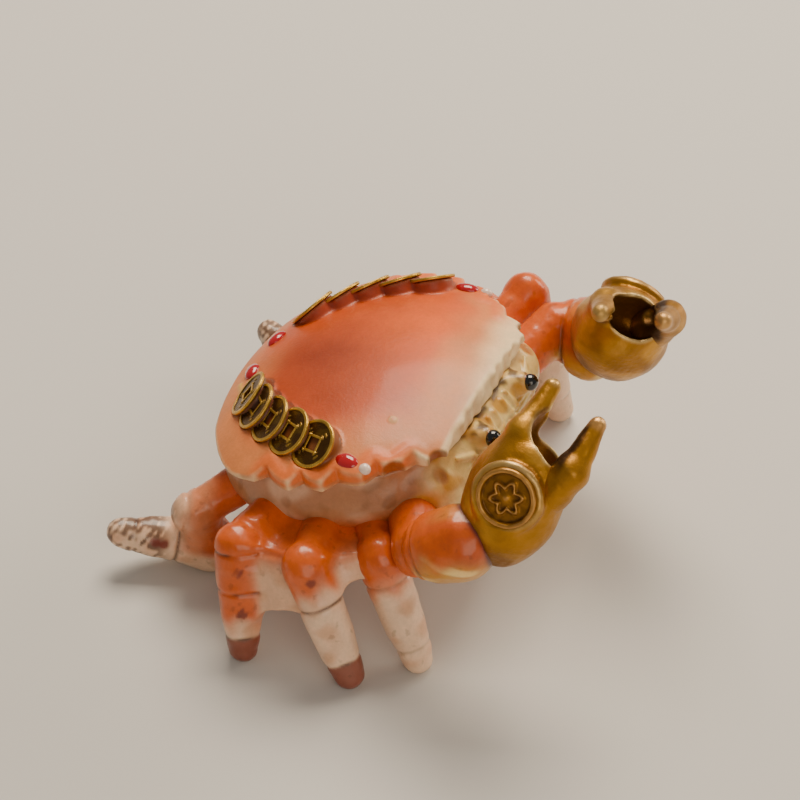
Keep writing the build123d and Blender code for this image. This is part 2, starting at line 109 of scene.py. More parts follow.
def to_side(points, sign):
    """Points folded over to the right side for a sign of -1, and to the left side for 1."""
    folded = points.copy()
    folded[:, 0] = sign * np.abs(points[:, 0])
    return folded


def share_along(points, start, end):
    """How far along a segment points lie, from 0 at its start to 1 at its end."""
    along = end - start
    return np.clip(((points - start) @ along) / (along @ along), 0.0, 1.0)


def segment_gap(points, start, end):
    """Distance of points to a segment."""
    share = share_along(points, start, end)
    return np.linalg.norm(points - start - share[:, None] * (end - start), axis=1)


def limb(points, start, end, start_radius, end_radius, swell=0.0):
    """Field of a round limb segment between two points, swollen in its middle."""
    share = share_along(points, start, end)
    radius = start_radius + (end_radius - start_radius) * share + swell * 4 * share * (1 - share)
    return segment_gap(points, start, end) - radius


def egg(points, centre, axes, halves):
    """Field of an ellipsoid with the given axes as rows and half sizes."""
    local = (points - centre) @ axes.T
    near = np.linalg.norm(local / halves, axis=1)
    slope = np.linalg.norm(local / np.square(halves), axis=1) + 1e-9
    return near * (near - 1.0) / slope


def lumps(points, size, seed):
    """Smooth random hills between about -1 and 1, from a few sine waves."""
    draw = np.random.RandomState(seed)
    total = np.zeros(len(points))
    for _ in range(7):
        direction = unit(draw.normal(size=3))
        wave = draw.uniform(0.7, 1.5) * 2 * math.pi / size
        total += np.sin(points @ direction * wave + draw.uniform(0, 2 * math.pi))
    return total / 3.5


# A field is first read at the middle of each block of grid points, and only blocks near zero in full
BLOCK = 4
NEAR_STEPS = 5.0

# Vertices settle onto the surface along the field's slope. In between they keep their own share of
# their place and take the rest from their neighbours' mean
NUDGE = 0.02
SETTLE_ROUNDS = 3
LEAST_SLOPE = 0.05
OWN_SHARE = 0.45
HOLLOW_ROUNDS = 6

# Steps of the grids, and the boxes in which the fields are read: a low and a high corner
LARGE_STEP = 0.27
LEG_STEP = 0.26
FINGER_STEP = 0.22
STALK_STEP = 0.15
SMALL_STEP = 0.12
COIN_STEP = 0.09
SHELL_BOX = ((-27.5, -20, -0.5), (27.5, 22.5, 7.6))
BODY_BOX = ((-26.5, -24, -15), (26.5, 22, 0.3))
ARM_BOX = ((-35, -29, 13), (-9, -2, 34))
PALM_BOX = ((-31, -38, 19), (-5, -17, 48))
DACTYL_BOX = ((-27, -41, 28), (-9, -24, 47))
COIN_BOX = ((-4, -4, -0.2), (4, 4, 0.8))
BEAD_BOX = ((-2, -2.2, -1.2), (2, 2.2, 1.2))
MEDAL_BOX = ((-5, -5, -0.2), (5, 5, 1.9))
LEG_ROOM = 4.6


def grid_inside(field, box, step):
    """A grid of points round a field, and which of them lie inside it."""
    low, high = box
    blocks = [math.ceil((high[k] - low[k]) / (step * BLOCK)) + 1 for k in range(3)]
    axes = [low[k] - 2 * step + np.arange(blocks[k] * BLOCK) * step for k in range(3)]
    grid = np.stack(np.meshgrid(*axes, indexing="ij"), -1)
    middles = [axis[::BLOCK] + (BLOCK - 1) / 2 * step for axis in axes]
    middles = np.stack(np.meshgrid(*middles, indexing="ij"), -1)
    rough = field(middles.reshape(-1, 3)).reshape(blocks)
    for k in range(3):
        rough = np.repeat(rough, BLOCK, axis=k)
    inside = rough < 0
    near = np.abs(rough) < NEAR_STEPS * step
    inside[near] = field(grid[near]) < 0
    return grid, inside


def crossed_cells(inside):
    """The grid's cells with some corners inside and some outside."""
    shape = inside.shape
    full = np.ones([n - 1 for n in shape], bool)
    some = np.zeros_like(full)
    for i, j, k in np.ndindex(2, 2, 2):
        corner = inside[i : shape[0] - 1 + i, j : shape[1] - 1 + j, k : shape[2] - 1 + k]
        full &= corner
        some |= corner
    return some & ~full


def quads_between(inside, number):
    """Quads that join the numbered cells round each grid edge that passes through the surface."""
    quads = []
    for axis in range(3):
        first, second = [a for a in range(3) if a != axis]
        here = np.moveaxis(inside, (axis, first, second), (0, 1, 2))
        index = np.moveaxis(number, (axis, first, second), (0, 1, 2))
        change = here[1:, 1:-1, 1:-1] != here[:-1, 1:-1, 1:-1]
        a = index[:, :-1, :-1][change]
        b = index[:, 1:, :-1][change]
        c = index[:, 1:, 1:][change]
        d = index[:, :-1, 1:][change]
        outward = here[:-1, 1:-1, 1:-1][change]
        if axis == 1:
            outward = ~outward
        forward, backward = np.stack([a, b, c, d], 1), np.stack([a, d, c, b], 1)
        quads.append(np.where(outward[:, None], forward, backward))
    return np.concatenate(quads)


def slope_at(field, points):
    """The slope of a field at points."""
    slope = np.empty_like(points)
    for k in range(3):
        nudge = np.zeros(3)
        nudge[k] = NUDGE
        slope[:, k] = (field(points + nudge) - field(points - nudge)) / (2 * NUDGE)
    return slope


def settle(field, points, step):
    """Points moved onto the surface of a field, by a step at most in each round."""
    for _ in range(SETTLE_ROUNDS):
        value = field(points)
        slope = slope_at(field, points)
        size = np.maximum((slope**2).sum(1), LEAST_SLOPE)
        move = -(value / size)[:, None] * slope
        length = np.linalg.norm(move, axis=1)
        move *= np.minimum(1.0, step / np.maximum(length, 1e-9))[:, None]
        points = points + move
    return points


def surface_of(field, box, step, relax=2):
    """Vertices and quads of the surface where a field is zero, and how hollow it is at each vertex."""
    grid, inside = grid_inside(field, box, step)
    cells = crossed_cells(inside)
    number = np.full(cells.shape, -1, int)
    number[cells] = np.arange(cells.sum())
    quads = quads_between(inside, number)
    pairs = np.concatenate([quads[:, [k, (k + 1) % 4]] for k in range(4)])
    ends = np.concatenate([pairs, pairs[:, ::-1]])
    degree = np.bincount(ends[:, 0], minlength=cells.sum()).astype(float)

    def neighbour_mean(values):
        total = [
            np.bincount(ends[:, 0], weights=column[ends[:, 1]], minlength=len(values))
            for column in values.T
        ]
        return np.stack(total, 1) / degree[:, None]

    vertices = settle(field, grid[:-1, :-1, :-1][cells] + step / 2, step)
    for _ in range(relax):
        mixed = OWN_SHARE * vertices + (1 - OWN_SHARE) * neighbour_mean(vertices)
        vertices = settle(field, mixed, step)
    normals = slope_at(field, vertices)
    normals /= np.linalg.norm(normals, axis=1)[:, None] + 1e-9
    hollow = ((neighbour_mean(vertices) - vertices) * normals).sum(1)[:, None] / step**2
    for _ in range(HOLLOW_ROUNDS):
        hollow = neighbour_mean(hollow)
    return vertices, quads, hollow[:, 0]


def make_piece(node, vertices, quads, material, paint, name=None):
    """A smooth-shaded object of the given mesh that stands for a CAD node."""
    name = name or f"{node}_cast"
    mesh = bpy.data.meshes.new(name)
    mesh.from_pydata((vertices * MM).tolist(), [], quads.tolist())
    mesh.polygons.foreach_set("use_smooth", [True] * len(mesh.polygons))
    colours = mesh.color_attributes.new(name="paint", type="FLOAT_COLOR", domain="POINT")
    rgba = np.ones((len(vertices), 4), np.float32)
    rgba[:, :3] = paint
    colours.data.foreach_set("color", rgba.ravel())
    mesh.materials.append(material)
    piece = bpy.data.objects.new(name, mesh)
    bpy.context.scene.collection.objects.link(piece)
    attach(piece, "root")
    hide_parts(node)


def flip_mesh(vertices, quads):
    """The left twin of a mesh."""
    return vertices * [-1, 1, 1], quads[:, ::-1]


def make_pair(node, vertices, quads, material, paint, name=None):
    """A piece of the right side and its left twin. The braces in node and name stand for the side."""
    for side in ("right", "left"):
        side_name = name and name.format(side)
        make_piece(node.format(side), vertices, quads, material, paint, side_name)
        vertices, quads = flip_mesh(vertices, quads)


def both_sides(node, field, box, step, material, painter):
    """Makes a piece of the right side from its field, and its left twin."""
    vertices, quads, hollow = surface_of(field, box, step)
    make_pair(node, vertices, quads, material, painter(vertices, hollow))


def tint(text):
    """Linear colour of a six-digit hex tone."""
    parts = [int(text[k : k + 2], 16) / 255 for k in (0, 2, 4)]
    return np.array([p / 12.92 if p <= 0.04045 else ((p + 0.055) / 1.055) ** 2.4 for p in parts])


def painted(paint, *layers):
    """Paint with layers laid over it in turn, each a colour and its amount at every vertex."""
    for colour, amount in layers:
        paint = paint + (colour - paint) * np.clip(amount, 0, 1)[:, None]
    return paint


CORAL = tint("C64C0C")
BRICK = tint("8E3006")
BRIGHT_ORANGE = tint("EC640A")
PEACH = tint("D8844A")
CREAM = tint("F8D9A8")
PINK_GREY = tint("B07A54")
LEG_ORANGE = tint("D25A10")
LEG_CREAM = tint("EBC6A6")
LEG_SHADE = tint("CF9670")
TOE_BROWN = tint("7A2812")
DARK_LINE = tint("42200F")
OCHRE = tint("A8741C")
GOLD_LIGHT = tint("D9A23E")
GOLD_HIGHLIGHT = tint("F6DC9A")
GOLD_BROWN = tint("6A3E10")
GOLD_DARK = tint("3A2008")
TAN = tint("C9965A")
FACE_GOLD = tint("C88C26")
FACE_CREAM = tint("EDCB80")
RED_BROWN = tint("8E2E12")
PURPLE_BROWN = tint("4A1A22")
SOCKET_BROWN = tint("A8683F")


def node_setup(name):
    """A new material, its node tree and its shader."""
    material = bpy.data.materials.new(name)
    material.use_nodes = True
    tree = material.node_tree
    return material, tree, tree.nodes["Principled BSDF"]


def add_node(tree, kind, **inputs):
    """Adds a node and sets its inputs by name."""
    node = tree.nodes.new(kind)
    for key, value in inputs.items():
        node.inputs[key.replace("_", " ")].default_value = value
    return node


def noise(tree, scale, detail=4.0, rough=0.55):
    """A noise texture in the object's own coordinates, its scale in waves to a metre."""
    coordinates = tree.nodes.new("ShaderNodeTexCoord")
    texture = add_node(tree, "ShaderNodeTexNoise", Scale=scale, Detail=detail, Roughness=rough)
    tree.links.new(coordinates.outputs["Object"], texture.inputs["Vector"])
    return texture


def ramp(tree, source, stops):
    """A colour ramp over a value, with stops of place and grey or colour."""
    node = tree.nodes.new("ShaderNodeValToRGB")
    elements = node.color_ramp.elements
    while len(elements) < len(stops):
        elements.new(0.5)
    for element, (position, colour) in zip(elements, stops):
        element.position = position
        if np.isscalar(colour):
            colour = (colour, colour, colour)
        element.color = (*colour, 1.0)
    tree.links.new(source, node.inputs["Fac"])
    return node


def mix_colour(tree, factor, first, second, mode="MIX"):
    """Mixes two colours by a factor that may be a socket or a number."""
    node = tree.nodes.new("ShaderNodeMix")
    node.data_type = "RGBA"
    node.blend_type = mode
    for index, value in ((0, factor), (6, first), (7, second)):
        if hasattr(value, "node"):
            tree.links.new(value, node.inputs[index])
        elif np.isscalar(value):
            node.inputs[index].default_value = value
        else:
            node.inputs[index].default_value = (*value, 1.0)
    return node.outputs[2]


def painted_material(name, cloud, light):
    """A material that takes its colour from the paint, lighter and darker in clouds: also its colour."""
    material, tree, shader = node_setup(name)
    paint = tree.nodes.new("ShaderNodeVertexColor")
    paint.layer_name = "paint"
    clouds = noise(tree, *cloud)
    tone = ramp(tree, clouds.outputs["Fac"], light)
    colour = mix_colour(tree, 1.0, paint.outputs["Color"], tone.outputs["Color"], "MULTIPLY")
    return material, tree, shader, clouds, colour


def finish_material(tree, shader, colour, rough, grain, bump, **inputs):
    """Links a colour, a roughness and a fine relief to a shader, and sets its other inputs by name."""
    relief = add_node(tree, "ShaderNodeBump", Strength=bump, Distance=RELIEF_DEPTH)
    tree.links.new(grain.outputs["Fac"], relief.inputs["Height"])
    tree.links.new(colour, shader.inputs["Base Color"])
    tree.links.new(rough.outputs["Color"], shader.inputs["Roughness"])
    tree.links.new(relief.outputs["Normal"], shader.inputs["Normal"])
    for key, value in inputs.items():
        shader.inputs[key.replace("_", " ")].default_value = value


RELIEF_DEPTH = 0.0002
GLOW_DEPTH = 0.0016
GLOW_RADIUS = (1.0, 0.42, 0.25)


def painted_resin(name, roughness, coat, under, bump, speck=0.0):
    """Cast resin with cloudy pigment, fine grain and gloss."""
    cloud = (140.0, 6.0, 0.6)
    material, tree, shader, clouds, colour = painted_material(name, cloud, [(0.3, 0.86), (0.7, 1.1)])
    grain = noise(tree, 1600.0, 3.0, 0.7)
    tone = ramp(tree, grain.outputs["Fac"], [(0.35, 0.93), (0.65, 1.05)])
    colour = mix_colour(tree, 0.8, colour, tone.outputs["Color"], "MULTIPLY")
    if speck:
        spots = noise(tree, 700.0, 2.0, 0.4)
        mask = ramp(tree, spots.outputs["Fac"], [(0.64, 0.0), (0.72, speck)])
        colour = mix_colour(tree, mask.outputs["Color"], colour, tuple(DARK_LINE))
    rough = ramp(tree, clouds.outputs["Fac"], [(0.3, roughness - 0.06), (0.7, roughness + 0.08)])
    finish_material(
        tree, shader, colour, rough, grain, bump,
        Specular_IOR_Level=0.35, Subsurface_Weight=under, Subsurface_Radius=GLOW_RADIUS,
        Subsurface_Scale=GLOW_DEPTH, Coat_Weight=coat, Coat_Roughness=0.12,
    )
    return material


def painted_metal(name, metallic, roughness, bump):
    """Gold paint or brass with brushed grain and dull patches."""
    patch = (320.0, 5.0, 0.6)
    material, tree, shader, patches, colour = painted_material(name, patch, [(0.3, 0.78), (0.68, 1.12)])
    rough = ramp(tree, patches.outputs["Fac"], [(0.3, roughness + 0.12), (0.7, roughness - 0.06)])
    grain = noise(tree, 2400.0, 3.0, 0.7)
    finish_material(tree, shader, colour, rough, grain, bump, Metallic=metallic)
    return material


SHELL_RESIN = painted_resin("shell_resin", 0.46, 0.14, 0.10, 0.25)
BODY_RESIN = painted_resin("body_resin", 0.34, 0.30, 0.20, 0.3)
LIMB_RESIN = painted_resin("limb_resin", 0.34, 0.35, 0.12, 0.25, speck=0.25)
GOLD = painted_metal("gold_paint", 0.72, 0.34, 0.3)
BRASS = painted_metal("aged_brass", 0.8, 0.30, 0.4)
GLOSS = painted_resin("enamel", 0.12, 0.9, 0.0, 0.05)
BEAD = painted_resin("bead", 0.08, 1.0, 0.0, 0.02)


def curve_through(points, start, end, count):
    """A smooth curve through plane points with the given end directions."""
    points = np.array(points, float)
    reach = np.linalg.norm(np.diff(points, axis=0), axis=1)
    knots = np.concatenate([[0], np.cumsum(reach)])
    slopes = np.gradient(points, knots, axis=0)
    slopes[0], slopes[-1] = unit(start), unit(end)
    samples = []
    for k in range(len(points) - 1):
        for t in np.arange(count) / count:
            h = reach[k]
            samples.append(
                (2 * t**3 - 3 * t**2 + 1) * points[k]
                + (t**3 - 2 * t**2 + t) * h * slopes[k]
                + (-2 * t**3 + 3 * t**2) * points[k + 1]
                + (t**3 - t**2) * h * slopes[k + 1]
            )
    return samples


SCALE = np.array([HALF_WIDTH, HALF_LENGTH])
NOTCH_SHARE = 0.28
TOOTH_DEPTH = 1.8
TOOTH_BULGE = 0.4


def shell_outline():
    """Half of the shell's toothed outline on the margin plane, from the lip round to the rear."""
    half = curve_through([np.array(LIP) * SCALE, np.array(LIP_CORNER) * SCALE], (1, 0), (1, 0), 14)
    tip = np.array(LIP_CORNER) * SCALE
    for shares in TEETH:
        next_tip = np.array(shares) * SCALE
        notch = next_tip + (tip - next_tip) * NOTCH_SHARE - np.array([TOOTH_DEPTH, 0])
        chord = notch - tip
        side = unit([chord[1], -chord[0]])
        for t in np.arange(10) / 10:
            half.append(tip + chord * t + side * TOOTH_BULGE * 4 * t * (1 - t))
        half.append(notch)
        tip = next_tip
    rear = [tip] + [np.array(shares) * SCALE for shares in REAR]
    half += curve_through(rear, (-0.1, 1), (-1, 0), 10)
    half.append(rear[-1])
    return np.array(half)


def closed(half):
    """The whole outline from its right half."""
    other = half[1:-1][::-1] * np.array([-1, 1])
    return np.concatenate([half, other])


def outline_gap(points, outline):
    """Signed distance of plane points to a closed outline, negative inside."""
    best = np.full(len(points), 1e9)
    crossings = np.zeros(len(points), int)
    for a, b in zip(outline, np.roll(outline, -1, axis=0)):
        edge = b - a
        share = np.clip(((points - a) @ edge) / (edge @ edge + 1e-12), 0, 1)
        best = np.minimum(best, np.linalg.norm(points - a - share[:, None] * edge, axis=1))
        spans = (a[1] > points[:, 1]) != (b[1] > points[:, 1])
        if abs(edge[1]) > 1e-12:
            at = a[0] + (points[:, 1] - a[1]) * edge[0] / edge[1]
            crossings += spans & (points[:, 0] < at)
    return np.where(crossings % 2 == 1, -best, best)


class OutlineTable:
    """Distances to an outline kept on a fine grid, so that fields can look them up quickly."""

    def __init__(self, outline, step):
        self.low = outline.min(0) - 4
        self.step = step
        size = np.ceil((outline.max(0) + 4 - self.low) / step).astype(int) + 1
        xs = self.low[0] + np.arange(size[0]) * step
        ys = self.low[1] + np.arange(size[1]) * step
        grid = np.stack(np.meshgrid(xs, ys, indexing="ij"), -1)
        self.table = outline_gap(grid.reshape(-1, 2), outline).reshape(size)

    def __call__(self, points):
        at = (points - self.low) / self.step
        at = np.clip(at, 0, np.array(self.table.shape) - 1.001)
        base = at.astype(int)
        part = at - base
        i, j = base[:, 0], base[:, 1]
        u, v = part[:, 0], part[:, 1]
        t = self.table
        return (
            t[i, j] * (1 - u) * (1 - v)
            + t[i + 1, j] * u * (1 - v)
            + t[i, j + 1] * (1 - u) * v
            + t[i + 1, j + 1] * u * v
        )


toothed = OutlineTable(closed(shell_outline()), 0.15)
body_half = curve_through([np.array(p) * SCALE for p in BODY_OUTLINE], (1, 0), (-1, 0), 10)
body_half.append(np.array(BODY_OUTLINE[-1]) * SCALE)
plain = OutlineTable(closed(np.array(body_half)), 0.3)

half_z = (SHELL_RISE - SHELL_RIM) / (1 - math.sqrt(1 - 1 / DOME_SPREAD**2))


def dome_height(x, y):
    """Height of the dome over the margin plane."""
    share = (x / (HALF_WIDTH * DOME_SPREAD)) ** 2 + (y / (HALF_LENGTH * DOME_SPREAD)) ** 2
    return SHELL_RISE - half_z + half_z * np.sqrt(np.clip(1 - share, 0, 1))


RING_WIDTH = 0.822
RING_LENGTH = 1.44
RING_CENTRE = -0.581
COIN_LIFT = 0.75
COIN_TILT = math.radians(10.5)
COIN_ROLL = math.radians(18.0)
COIN_RADIUS = 3.85
COIN_THICKNESS = 0.5
COIN_ANGLES = [22.5 + 9.5 * k for k in range(5)]


def ring_frame(angle, lift=0.0, tilt=0.0, roll=0.0):
    """Origin and axes (as rows) of a place on the coin ring's right half, rolled out and tilted back."""
    half_x, half_y = HALF_WIDTH * DOME_SPREAD, HALF_LENGTH * DOME_SPREAD
    turn = math.radians(angle)
    x = -RING_WIDTH * HALF_WIDTH * math.cos(turn)
    y = (RING_CENTRE + RING_LENGTH * math.sin(turn)) * HALF_LENGTH
    rise = half_z * math.sqrt(1 - (x / half_x) ** 2 - (y / half_y) ** 2)
    normal = unit([x / half_x**2, y / half_y**2, rise / half_z**2])
    point = np.array([x, y, SHELL_RISE - half_z + rise]) + normal * lift
    along = np.array(
        [RING_WIDTH * HALF_WIDTH * math.sin(turn), RING_LENGTH * HALF_LENGTH * math.cos(turn), 0]
    )
    normal = normal @ MARGIN_AXES
    across = unit(np.cross(along @ MARGIN_AXES, normal))
    rearward = np.cross(normal, across)
    rolled_across = across * math.cos(roll) + normal * math.sin(roll)
    rolled_normal = normal * math.cos(roll) - across * math.sin(roll)
    tilted_rear = rearward * math.cos(tilt) - rolled_normal * math.sin(tilt)
    tilted_normal = rolled_normal * math.cos(tilt) + rearward * math.sin(tilt)
    return from_margin(point), np.array([rolled_across, tilted_rear, tilted_normal])


def twin(origin, axes):
    """The left twin of a place on the right side."""
    flip = np.array([-1, 1, 1])
    return origin * flip, axes * flip


coin_seats = [ring_frame(angle, COIN_LIFT, COIN_TILT, COIN_ROLL) for angle in COIN_ANGLES]
coin_seats += [twin(*seat) for seat in coin_seats]
coin_seats_margin = [(to_margin(o[None])[0], axes @ MARGIN_AXES.T) for o, axes in coin_seats]


BUBBLE = (-13.0, -10.0)
STRAND = [np.array([-6.7, 19.4]), np.array([-10.2, 17.0]), np.array([-12.7, 14.0])]
FOLDS = [((-20.6, -13.4, 0.2), (1.7, 2.2, 2.6)), ((-16.3, -18.6, -0.2), (1.7, 1.9, 3.2))]


def strand_gap(points):
    """Plane distance to the golden strand beside the rear drop."""
    gaps = [segment_gap(points[:, :2], start, end) for start, end in zip(STRAND, STRAND[1:])]
    return np.minimum.reduce(gaps)


def fold_field(points):
    """The two dents at each front corner, in the margin's frame."""
    folded = to_side(points, -1)
    dents = [egg(folded, np.array(centre), np.eye(3), np.array(halves)) for centre, halves in FOLDS]
    return np.minimum.reduce(dents)


def shell_field(points):
    """The shell in the margin's frame: dome, rounded toothed rim, folds and coin pads."""
    x, y, z = points.T
    rim = 0.32
    edge = toothed(points[:, :2])
    edge += 0.22 * lumps(points, 2.4, 7) * smooth_step(-16.5, -17.5, y)
    height = dome_height(x, y)
    height += 0.10 * lumps(points * [1, 1, 0], 16, 3)
    height += 0.30 * smooth_step(-2.6, -0.9, edge) * smooth_step(12, 6, y) * smooth_step(-17, -14, y)
    height += 0.24 * smooth_step(0.75, 0.35, np.hypot(x - BUBBLE[0], y - BUBBLE[1]))
    height += 0.20 * np.exp(-((strand_gap(points) / 0.3) ** 2))
    side = edge + rim
    over = (z - height) * 0.93 + rim
    under = -z + rim
    outside = np.sqrt(np.maximum(side, 0) ** 2 + np.maximum(over, 0) ** 2 + np.maximum(under, 0) ** 2)
    within = np.minimum(np.maximum(np.maximum(side, over), under), 0)
    field = outside + within - rim
    for origin, axes in coin_seats_margin:
        near = np.abs(points - origin).max(1) < COIN_RADIUS + 2
        local = (points[near] - origin) @ axes.T
        round_gap = np.linalg.norm(local[:, :2], axis=1) - (COIN_RADIUS - 0.45)
        pad = blend_max(round_gap, local[:, 2] + 0.08, 0.2)
        pad = np.maximum(pad, -2.6 - local[:, 2])
        field[near] = blend_min(field[near], pad, 0.6)
        bed = blend_max(
            np.linalg.norm(local[:, :2], axis=1) - (COIN_RADIUS + 0.1), -(local[:, 2] + 0.08), 0.1
        )
        field[near] = np.maximum(field[near], -bed)
    return blend_max(field, -fold_field(points), 0.5)


def coin_shadow_paint(vertices, origin, axes):
    """Painted shadow under a coin's edge in the right row, and red-brown paint under it in the left row:
    its colour and amount.
    """
    local = (vertices - origin) @ axes.T
    reach = np.linalg.norm(local[:, :2], axis=1)
    under = smooth_step(COIN_RADIUS + 0.5, COIN_RADIUS - 0.3, reach)
    under_colour = GOLD_DARK if origin[0] < 0 else RED_BROWN
    return under_colour, 0.75 * under * (np.abs(local[:, 2]) < 2) * (local[:, 2] < 0.4)


def make_shell():
    """The domed coral shell."""
    vertices, quads, hollow = surface_of(shell_field, SHELL_BOX, LARGE_STEP)
    x, y, z = vertices.T
    edge = toothed(vertices[:, :2])
    dusk = np.exp(-(((x + 4) / 10) ** 2) - ((y - 4) / 10) ** 2)
    front = -y / HALF_LENGTH + 0.009 * (x - 5) + 0.03 * lumps(vertices, 9, 6)
    tooth = smooth_step(-3.2, -1.4, edge) * smooth_step(10, 7, y) * smooth_step(-16, -13, y)
    lip = smooth_step(-0.9, -0.25, edge) * smooth_step(-14, -16, y)
    side = smooth_step(-0.7, -0.2, edge) * smooth_step(1.1, 0.6, z) * (1 - lip)
    bubble = np.hypot(x - BUBBLE[0], y - BUBBLE[1])
    hollow_shade = smooth_step(0.1, 0.5, hollow) * smooth_step(1.0, 2.0, z) * (bubble > 1.5)
    strand = np.exp(-((strand_gap(vertices) / 0.45) ** 2)) * (z > 0.5)
    paint = painted(
        CORAL,
        (BRIGHT_ORANGE, 0.9 * np.exp(-(((x - 8) / 9) ** 2) - ((y + 8) / 9) ** 2)),
        (BRICK, 0.85 * dusk * (1 + 0.3 * lumps(vertices, 12, 5))),
        (PEACH, 0.85 * smooth_step(-11, -3, edge) * smooth_step(9, -2, x + 0.3 * y)),
        (PEACH, 0.55 * smooth_step(-5, -1.5, edge)),
        # Peach and then cream towards the front, more on the left side: partly the shell's pale front,
        # partly painted highlight
        (PEACH, 0.8 * smooth_step(0.40, 0.66, front)),
        (CREAM, 0.95 * smooth_step(0.62, 0.88, front)),
        (BRIGHT_ORANGE, 0.6 * tooth),
        (CREAM, 0.9 * lip),
        (PINK_GREY, 0.6 * side),
        # Painted highlight: cream on the shell's ridges
        (CREAM, 0.7 * smooth_step(-0.10, -0.40, hollow)),
        # Painted shadow under the coins of the right row, red-brown paint under the left row
        *[coin_shadow_paint(vertices, *seat) for seat in coin_seats_margin],
        # Painted shade: red-brown in the shell's hollows, away from the bubble
        (RED_BROWN, 0.5 * hollow_shade),
        # Painted highlight: a cream ring round the bubble
        (CREAM, 0.6 * np.exp(-(((bubble - 0.5) / 0.2) ** 2)) * (z > 1)),
        (GOLD_LIGHT, strand),
        # Painted shade: brown in the dents at the front corners
        (GOLD_BROWN, 0.6 * smooth_step(0.5, 0.1, fold_field(vertices))),
    )
    world = from_margin(vertices)
    make_piece("carapace", world, quads, SHELL_RESIN, paint, "shell_dome")


BAND_HEIGHT = 5.6
BAND_TOP_INSET = 2.4
BELLY_INSET = 1.2
BELLY_DEPTH = 8.5
FACE_END = place(-0.52, -0.70, 0.90)
FACE_RADIUS = 5.0
FACE_SWELL = 2.0
EYE = place(-0.256, -1.005, 1.112)
EYE_RADIUS = 1.3
STALK_ROOT = place(-0.225, -0.78, 1.06)


# Feelers and mouth cones of the right half of the face in the margin's frame: two ends and two radii
FACE_RELIEF = [
    ((2.1, -21.2, -5.6), (1.5, -19.9, -1.4), 1.15, 0.45),
    ((2.1, -21.2, -5.6), (4.6, -20.6, -6.2), 0.9, 0.6),
    ((3.6, -20.9, -3.6), (5.0, -19.6, -1.1), 0.5, 0.32),
    ((3.6, -20.9, -3.6), (3.2, -19.9, -1.0), 0.45, 0.28),
    ((8.4, -20.3, -4.4), (6.9, -19.6, -2.4), 0.7, 0.9),
    ((9.6, -20.0, -3.2), (12.6, -18.9, -1.6), 0.5, 0.28),
]
HAIR_PITCH = 0.95
GILDED_CORNER = np.array([18.8, 15.7, 6.0])


def body_field(points):
    """The cast body in the margin's frame: band, belly and the bulge of the face."""
    x, y, z = points.T
    edge = plain(points[:, :2])
    down = np.clip(-z / BAND_HEIGHT, 0, 1)
    inset = BAND_TOP_INSET + (BELLY_INSET - BAND_TOP_INSET) * smooth_step(0, 1, down)
    band = edge + inset
    below = np.clip((-z - BAND_HEIGHT) / BELLY_DEPTH, 0, 2)
    middle = HALF_LENGTH * 0.9
    belly = band + middle * (1 - np.sqrt(np.clip(1 - below**2, 0, 1)))
    belly = np.where(below >= 1, np.maximum(belly, (below - 1) * BELLY_DEPTH), belly)
    world = from_margin(points)
    face = limb(world, FACE_END, FACE_END * [-1, 1, 1], FACE_RADIUS, FACE_RADIUS, FACE_SWELL)
    field = blend_min(belly, face, 1.6)
    mound_end = EYE + 1.5 * unit(STALK_ROOT - EYE)
    mound = limb(to_side(world, -1), STALK_ROOT, mound_end, 2.4, 1.75)
    field = blend_min(field, mound, 1.2)
    folded = to_side(points, 1)
    for start, end, start_radius, end_radius in FACE_RELIEF:
        strand = limb(folded, np.array(start), np.array(end), start_radius, end_radius)
        field = blend_min(field, strand, 0.5)
    hair = smooth_step(-18.6, -19.6, y) * smooth_step(-2.6, -3.6, z) * smooth_step(13.5, 11.5, np.abs(x))
    field += 0.10 * hair * np.cos((z + 0.12 * np.abs(x)) * 2 * math.pi / HAIR_PITCH)
    field = blend_max(field, -fold_field(points), 0.5)
    field = blend_max(field, z + 0.02, 0.3)
    return field + 0.10 * lumps(points, 7, 11)


def make_body():
    """The pale translucent body under the shell, with painted shade in the face's hollows, in the corner
    dents and in the seam under the front lip.
    """
    vertices, quads, hollow = surface_of(body_field, BODY_BOX, LARGE_STEP)
    x, y, z = vertices.T
    front = smooth_step(-14, -18, y)
    relief = np.minimum(smooth_step(-19.0, -20.5, y), smooth_step(9.5, 7.5, np.abs(x)))
    corner = np.linalg.norm(np.abs(vertices) - GILDED_CORNER, axis=1)
    # Painted shadow: a broken dark line in the seam under the shell's front lip
    seam_shadow = smooth_step(-1.0, -0.4, z) * smooth_step(-15.5, -17, y)
    seam_shadow *= smooth_step(-0.4, 0.3, lumps(vertices, 1.8, 15))
    paint = painted(
        PINK_GREY,
        (LEG_CREAM, 0.5 * smooth_step(0.0, 0.8, lumps(vertices, 8, 12))),
        (LEG_ORANGE, 0.5 * smooth_step(-5.0, -8.0, z)),
        (GOLD_BROWN, 0.35 * smooth_step(0.2, 0.9, lumps(vertices, 4, 14))),
        (FACE_CREAM, front),
        (FACE_GOLD, 0.8 * front * smooth_step(0.0, 0.7, lumps(vertices, 4, 13))),
        (FACE_GOLD, 0.7 * relief * smooth_step(-0.02, -0.25, hollow)),
        # Painted shade: brown in the hollows of the face
        (GOLD_BROWN, 0.8 * front * smooth_step(0.08, 0.45, hollow)),
        (GOLD_LIGHT, (1 - smooth_step(1.2, 2.8, corner)) * (y < 0)),
        # Painted shade: brown in the dents at the front corners
        (SOCKET_BROWN, 0.7 * smooth_step(0.6, 0.1, fold_field(vertices))),
        (DARK_LINE, 0.85 * seam_shadow),
    )
    world = from_margin(vertices)
    make_piece("belly_casting", world, quads, BODY_RESIN, paint, "body_cast")


